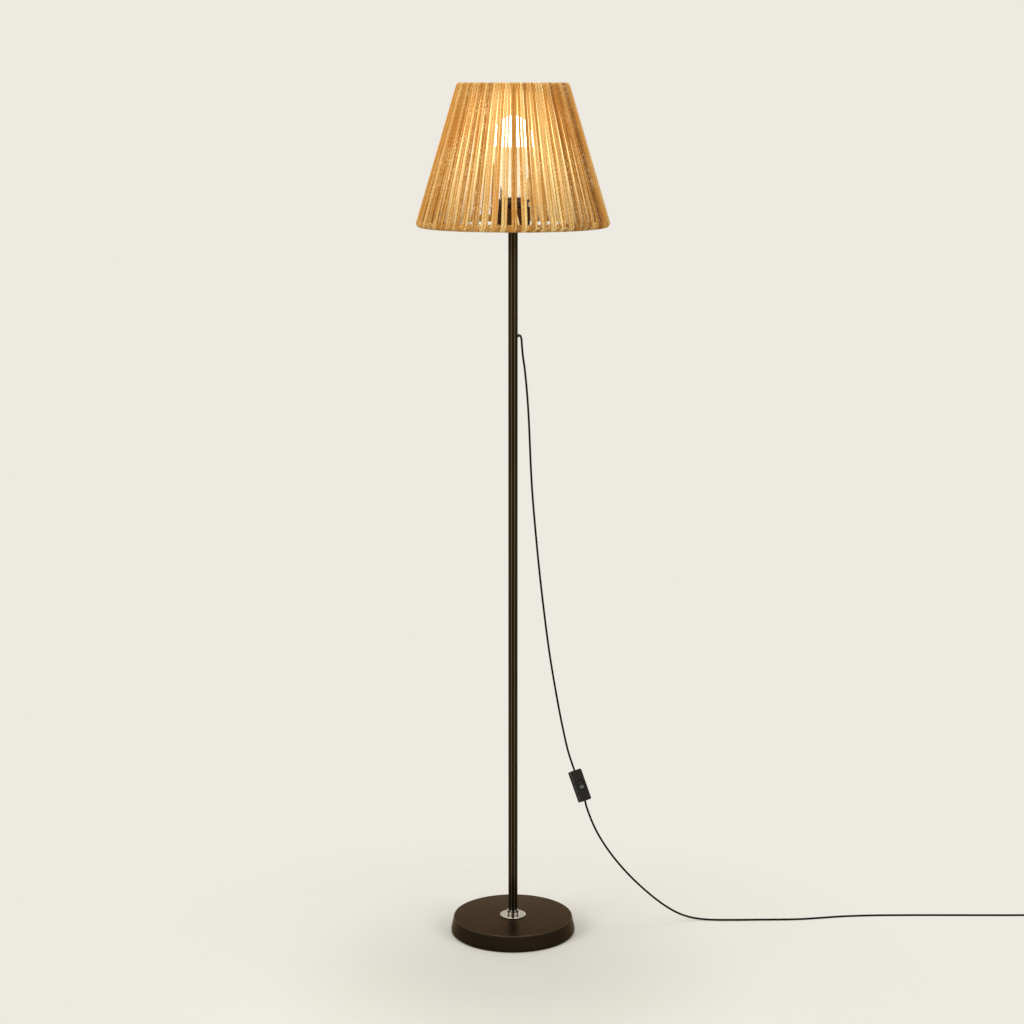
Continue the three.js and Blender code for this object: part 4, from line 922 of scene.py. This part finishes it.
class Strand:
    """Stations of one unbroken cord: place, angle, way out from the wall, half width, tone and whether inside."""

    def __init__(self, turn):
        self.turn = turn
        self.rows = []
        self.tone = 0.0

    def add(self, spot, out, turn, half, inside=0.0):
        self.rows.append((*spot, turn, *out, half, self.tone, inside))

    def round_ring(self, ring, first, last, steps, turn, half, lean=0.0):
        """Round a ring between two angles from straight outwards, while it shifts to another place along it."""
        start = self.turn
        for step in range(steps + 1):
            angle = first + (last - first) * step / steps
            cosine, sine = math.cos(math.radians(angle)), math.sin(math.radians(angle))
            out = cosine * NORMAL + sine * WALL
            share = between((angle + 150) / 160, 0, 1) if first < 0 else 1
            share = share * share * (3 - 2 * share)
            self.add(ring + OFFSET * out, out, start + (turn - start) * share + lean * sine, half(angle))
        self.turn = turn

    def run(self, side, low, high, middle, count, up):
        """Along the wall between the two rings, on its outside or its inside."""
        bend, phase = random.uniform(-0.3, 0.3), random.uniform(0, 6.28)
        widest = OUTER_HALF if side > 0 else INNER_HALF
        shares = np.linspace(0, 1, count)[1:-1]
        for share in shares if up else shares[::-1]:
            spot = LOWER + (UPPER - LOWER) * share + OFFSET * side * NORMAL
            place = low + (high - low) * share
            spacing = 2 * abs(place) * spot[0]
            wander = math.sin(math.pi * share) * (bend + 0.12 * math.sin(7 * share + phase)) / spot[0]
            half = min(widest, PAIR_SHARE * spacing)
            self.add(spot, side * NORMAL, middle + place + wander, half, float(side < 0))


def rim_half(angle):
    return RIM_HALF + RIM_SWELL * between((angle + 60) / 60, 0, 1)


def crown_half(angle):
    return CROWN_HALF + (INNER_HALF - CROWN_HALF) * max(angle - 110, 0) / 70


def winding(number):
    """The stations of one winding, loop after loop."""
    strand = Strand(FRONT + (LOOPS * number - 1) * PITCH + WRAPS[1])
    for loop in range(LOOPS):
        middle = FRONT + (LOOPS * number + loop) * PITCH
        for low, high in PAIR:
            strand.tone = random.uniform(-1, 1)
            strand.round_ring(LOWER, -180, 0, 14, middle + low, rim_half, RIM_LEAN)
            strand.run(1, low, high, middle, 44, True)
            strand.turn = middle + high
            strand.round_ring(UPPER, 0, 180, 12, middle + high, crown_half)
            strand.run(-1, low, high, middle, 24, False)
            strand.turn = middle + low
        for place in WRAPS:
            # Darker tones on the rim wraps: painted shade on the lower rim.
            strand.tone = random.uniform(-1, -0.2)
            strand.round_ring(LOWER, -180, 180, 26, middle + place, lambda angle: RIM_HALF, RIM_LEAN)
    return np.array(strand.rows)


def strand_shape(rows, sides=8):
    """The cord's mesh, and what its finish needs to know at each point."""
    r, z, turn, out_r, out_z, half, tone, inside = rows.T
    middle = np.column_stack((r * np.cos(turn), r * np.sin(turn), z))
    out = np.column_stack((out_r * np.cos(turn), out_r * np.sin(turn), out_z))
    ahead = unit(np.gradient(middle, axis=0))
    out = unit(out - (out * ahead).sum(axis=1, keepdims=True) * ahead)
    side = np.cross(out, ahead)
    angles = TURN * (np.arange(sides) + 0.5) / sides
    across, above = np.cos(angles)[None, :, None], np.sin(angles)[None, :, None]
    rings = middle[:, None] + half[:, None, None] * across * side[:, None] + THICK * above * out[:, None]
    along = np.concatenate(([0], np.cumsum(np.linalg.norm(np.diff(middle, axis=0), axis=1)))) * MM
    lobes = np.column_stack((np.cos(2 * angles), np.sin(2 * angles), np.zeros(sides)))
    # The painted glow's share: the inner runs' faces towards the wall.
    towards_wall = np.where(np.sin(angles) < 0, 1, 0.15)
    facts = {
        "along": ("FLOAT", np.repeat(along, sides)),
        "tone": ("FLOAT", np.repeat(tone, sides)),
        "inside": ("FLOAT", np.repeat(inside, sides)),
        "lit": ("FLOAT", (inside[:, None] * towards_wall[None, :]).ravel()),
        "lobes": ("FLOAT_VECTOR", np.tile(lobes, (len(rows), 1))),
    }
    return lofted(rings), facts


for number in range(WINDINGS):
    shape, facts = strand_shape(winding(number))
    label = f"winding_{number + 1:02d}"
    piece(f"rattan_{label}", shape, rattan, "shade", [label], 60, facts)


# CAD nodes that stay: each gets its finish and smooth faces

for material, names in (
    (steel, (
        "base_stud", "lower_washer", "lower_nut", "foot_socket", "joint_plug_1", "joint_socket_1", "joint_plug_2",
        "joint_socket_2", "top_plug", "cup_washer", "cup_nut", "bulb_contact", "bulb_cap",
    )),
    (brass, ("screw_shell", "centre_contact", "contact_fixed", "contact_moving")),
    (cement, ("base_weight",)), (jacket, ("inner_cord",)), (plastic, ("holder_base",)),
    (ceramic, ("holder_insert",)), (insulator, ("bulb_insulator",)), (board_mask, ("bulb_board",)),
    (wire_paint, ("shade_frame",)),
):
    for name in names:
        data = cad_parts[name].data
        data.materials.clear()
        data.materials.append(material)
        data.polygons.foreach_set("use_smooth", [True] * len(data.polygons))
        data.set_sharp_from_angle(angle=math.radians(34))


# Backdrop: pale for what is seen, straight, mirrored or through glass, and a softer grey as light

world = bpy.data.worlds.new("studio")
scene.world = world
world.use_nodes = True
tree = world.node_tree
rays = tree.nodes.new("ShaderNodeLightPath").outputs
is_seen = rays["Is Camera Ray"]
for name in ("Is Glossy Ray", "Is Transmission Ray"):
    either = tree.nodes.new("ShaderNodeMath")
    either.operation = "MAXIMUM"
    tree.links.new(is_seen, either.inputs[0])
    tree.links.new(rays[name], either.inputs[1])
    is_seen = either.outputs[0]
soft, pale = tree.nodes["Background"], tree.nodes.new("ShaderNodeBackground")
for background, colour, strength in ((soft, (0.8, 0.8, 0.8, 1), 0.5), (pale, paint(237, 234, 225), 1.0)):
    background.inputs["Color"].default_value = colour
    background.inputs["Strength"].default_value = strength
both = tree.nodes.new("ShaderNodeMixShader")
tree.links.new(is_seen, both.inputs[0])
tree.links.new(soft.outputs[0], both.inputs[1])
tree.links.new(pale.outputs[0], both.inputs[2])
tree.links.new(both.outputs[0], tree.nodes["World Output"].inputs["Surface"])


# Floor

FLOOR_RADIUS, FLOOR_HEIGHT = 0.95, -0.0003


def floor_finish():
    """Pale and matt, with a painted shadow under the lamp and a little in front of it, fading out into the backdrop."""
    made = Finish("pale_floor")
    made.set("Roughness", 1.0)
    made.set("Specular IOR Level", 0.0)
    from_front = made.node("VectorMath", made.place, (0, 0.2, 0), operation="ADD").outputs[0]
    far = made.node("VectorMath", from_front, operation="LENGTH").outputs["Value"]
    clouds = made.remap(made.noise(3, 2), 0, 1)
    tint = made.mix(clouds, (0.69, 0.672, 0.62, 1), (0.698, 0.68, 0.628, 1))
    # Darker near the lamp, centred a little in front of it: a painted shadow.
    made.set("Base Color", made.mix(made.remap(far, 0, 1, 0.08, 0.42), (0.585, 0.572, 0.528, 1), tint))
    made.blend(made.remap(far, 0, 1, 0.22, 0.72), made.node("BsdfTransparent"))
    return made.material


floor_data = bpy.data.meshes.new("floor")
rim = [(FLOOR_RADIUS * math.cos(a), FLOOR_RADIUS * math.sin(a), FLOOR_HEIGHT) for a in TURN * np.arange(96) / 96]
floor_data.from_pydata(rim, [], [tuple(range(len(rim)))])
floor_data.materials.append(floor_finish())
floor = bpy.data.objects.new("floor", floor_data)
scene.collection.objects.link(floor)


# Light

def softbox(name, place, aim, width, height, power, colour, reflected):
    data = bpy.data.lights.new(name, "AREA")
    data.shape = "RECTANGLE"
    data.size, data.size_y = width, height
    data.energy = power
    data.color = colour
    made = bpy.data.objects.new(name, data)
    made.location = place
    made.rotation_euler = (Vector(aim) - Vector(place)).to_track_quat("-Z", "Y").to_euler()
    made.visible_glossy = reflected
    scene.collection.objects.link(made)


softbox("overhead", (0, 0.5, 3.4), (0, 0, 0), 2.4, 2.0, 52, (1, 0.99, 0.96), True)
FRONT_DISTANCE = 2.7
for name, azimuth, power, colour in (
    ("front_left", -138, 56, (1, 0.98, 0.91)),
    ("front_right", -42, 38, (1, 0.99, 0.93)),
):
    turn = math.radians(azimuth)
    place = (FRONT_DISTANCE * math.cos(turn), FRONT_DISTANCE * math.sin(turn), 1.6)
    softbox(name, place, (0, 0, 1.1), 1.3, 1.5, power, colour, False)
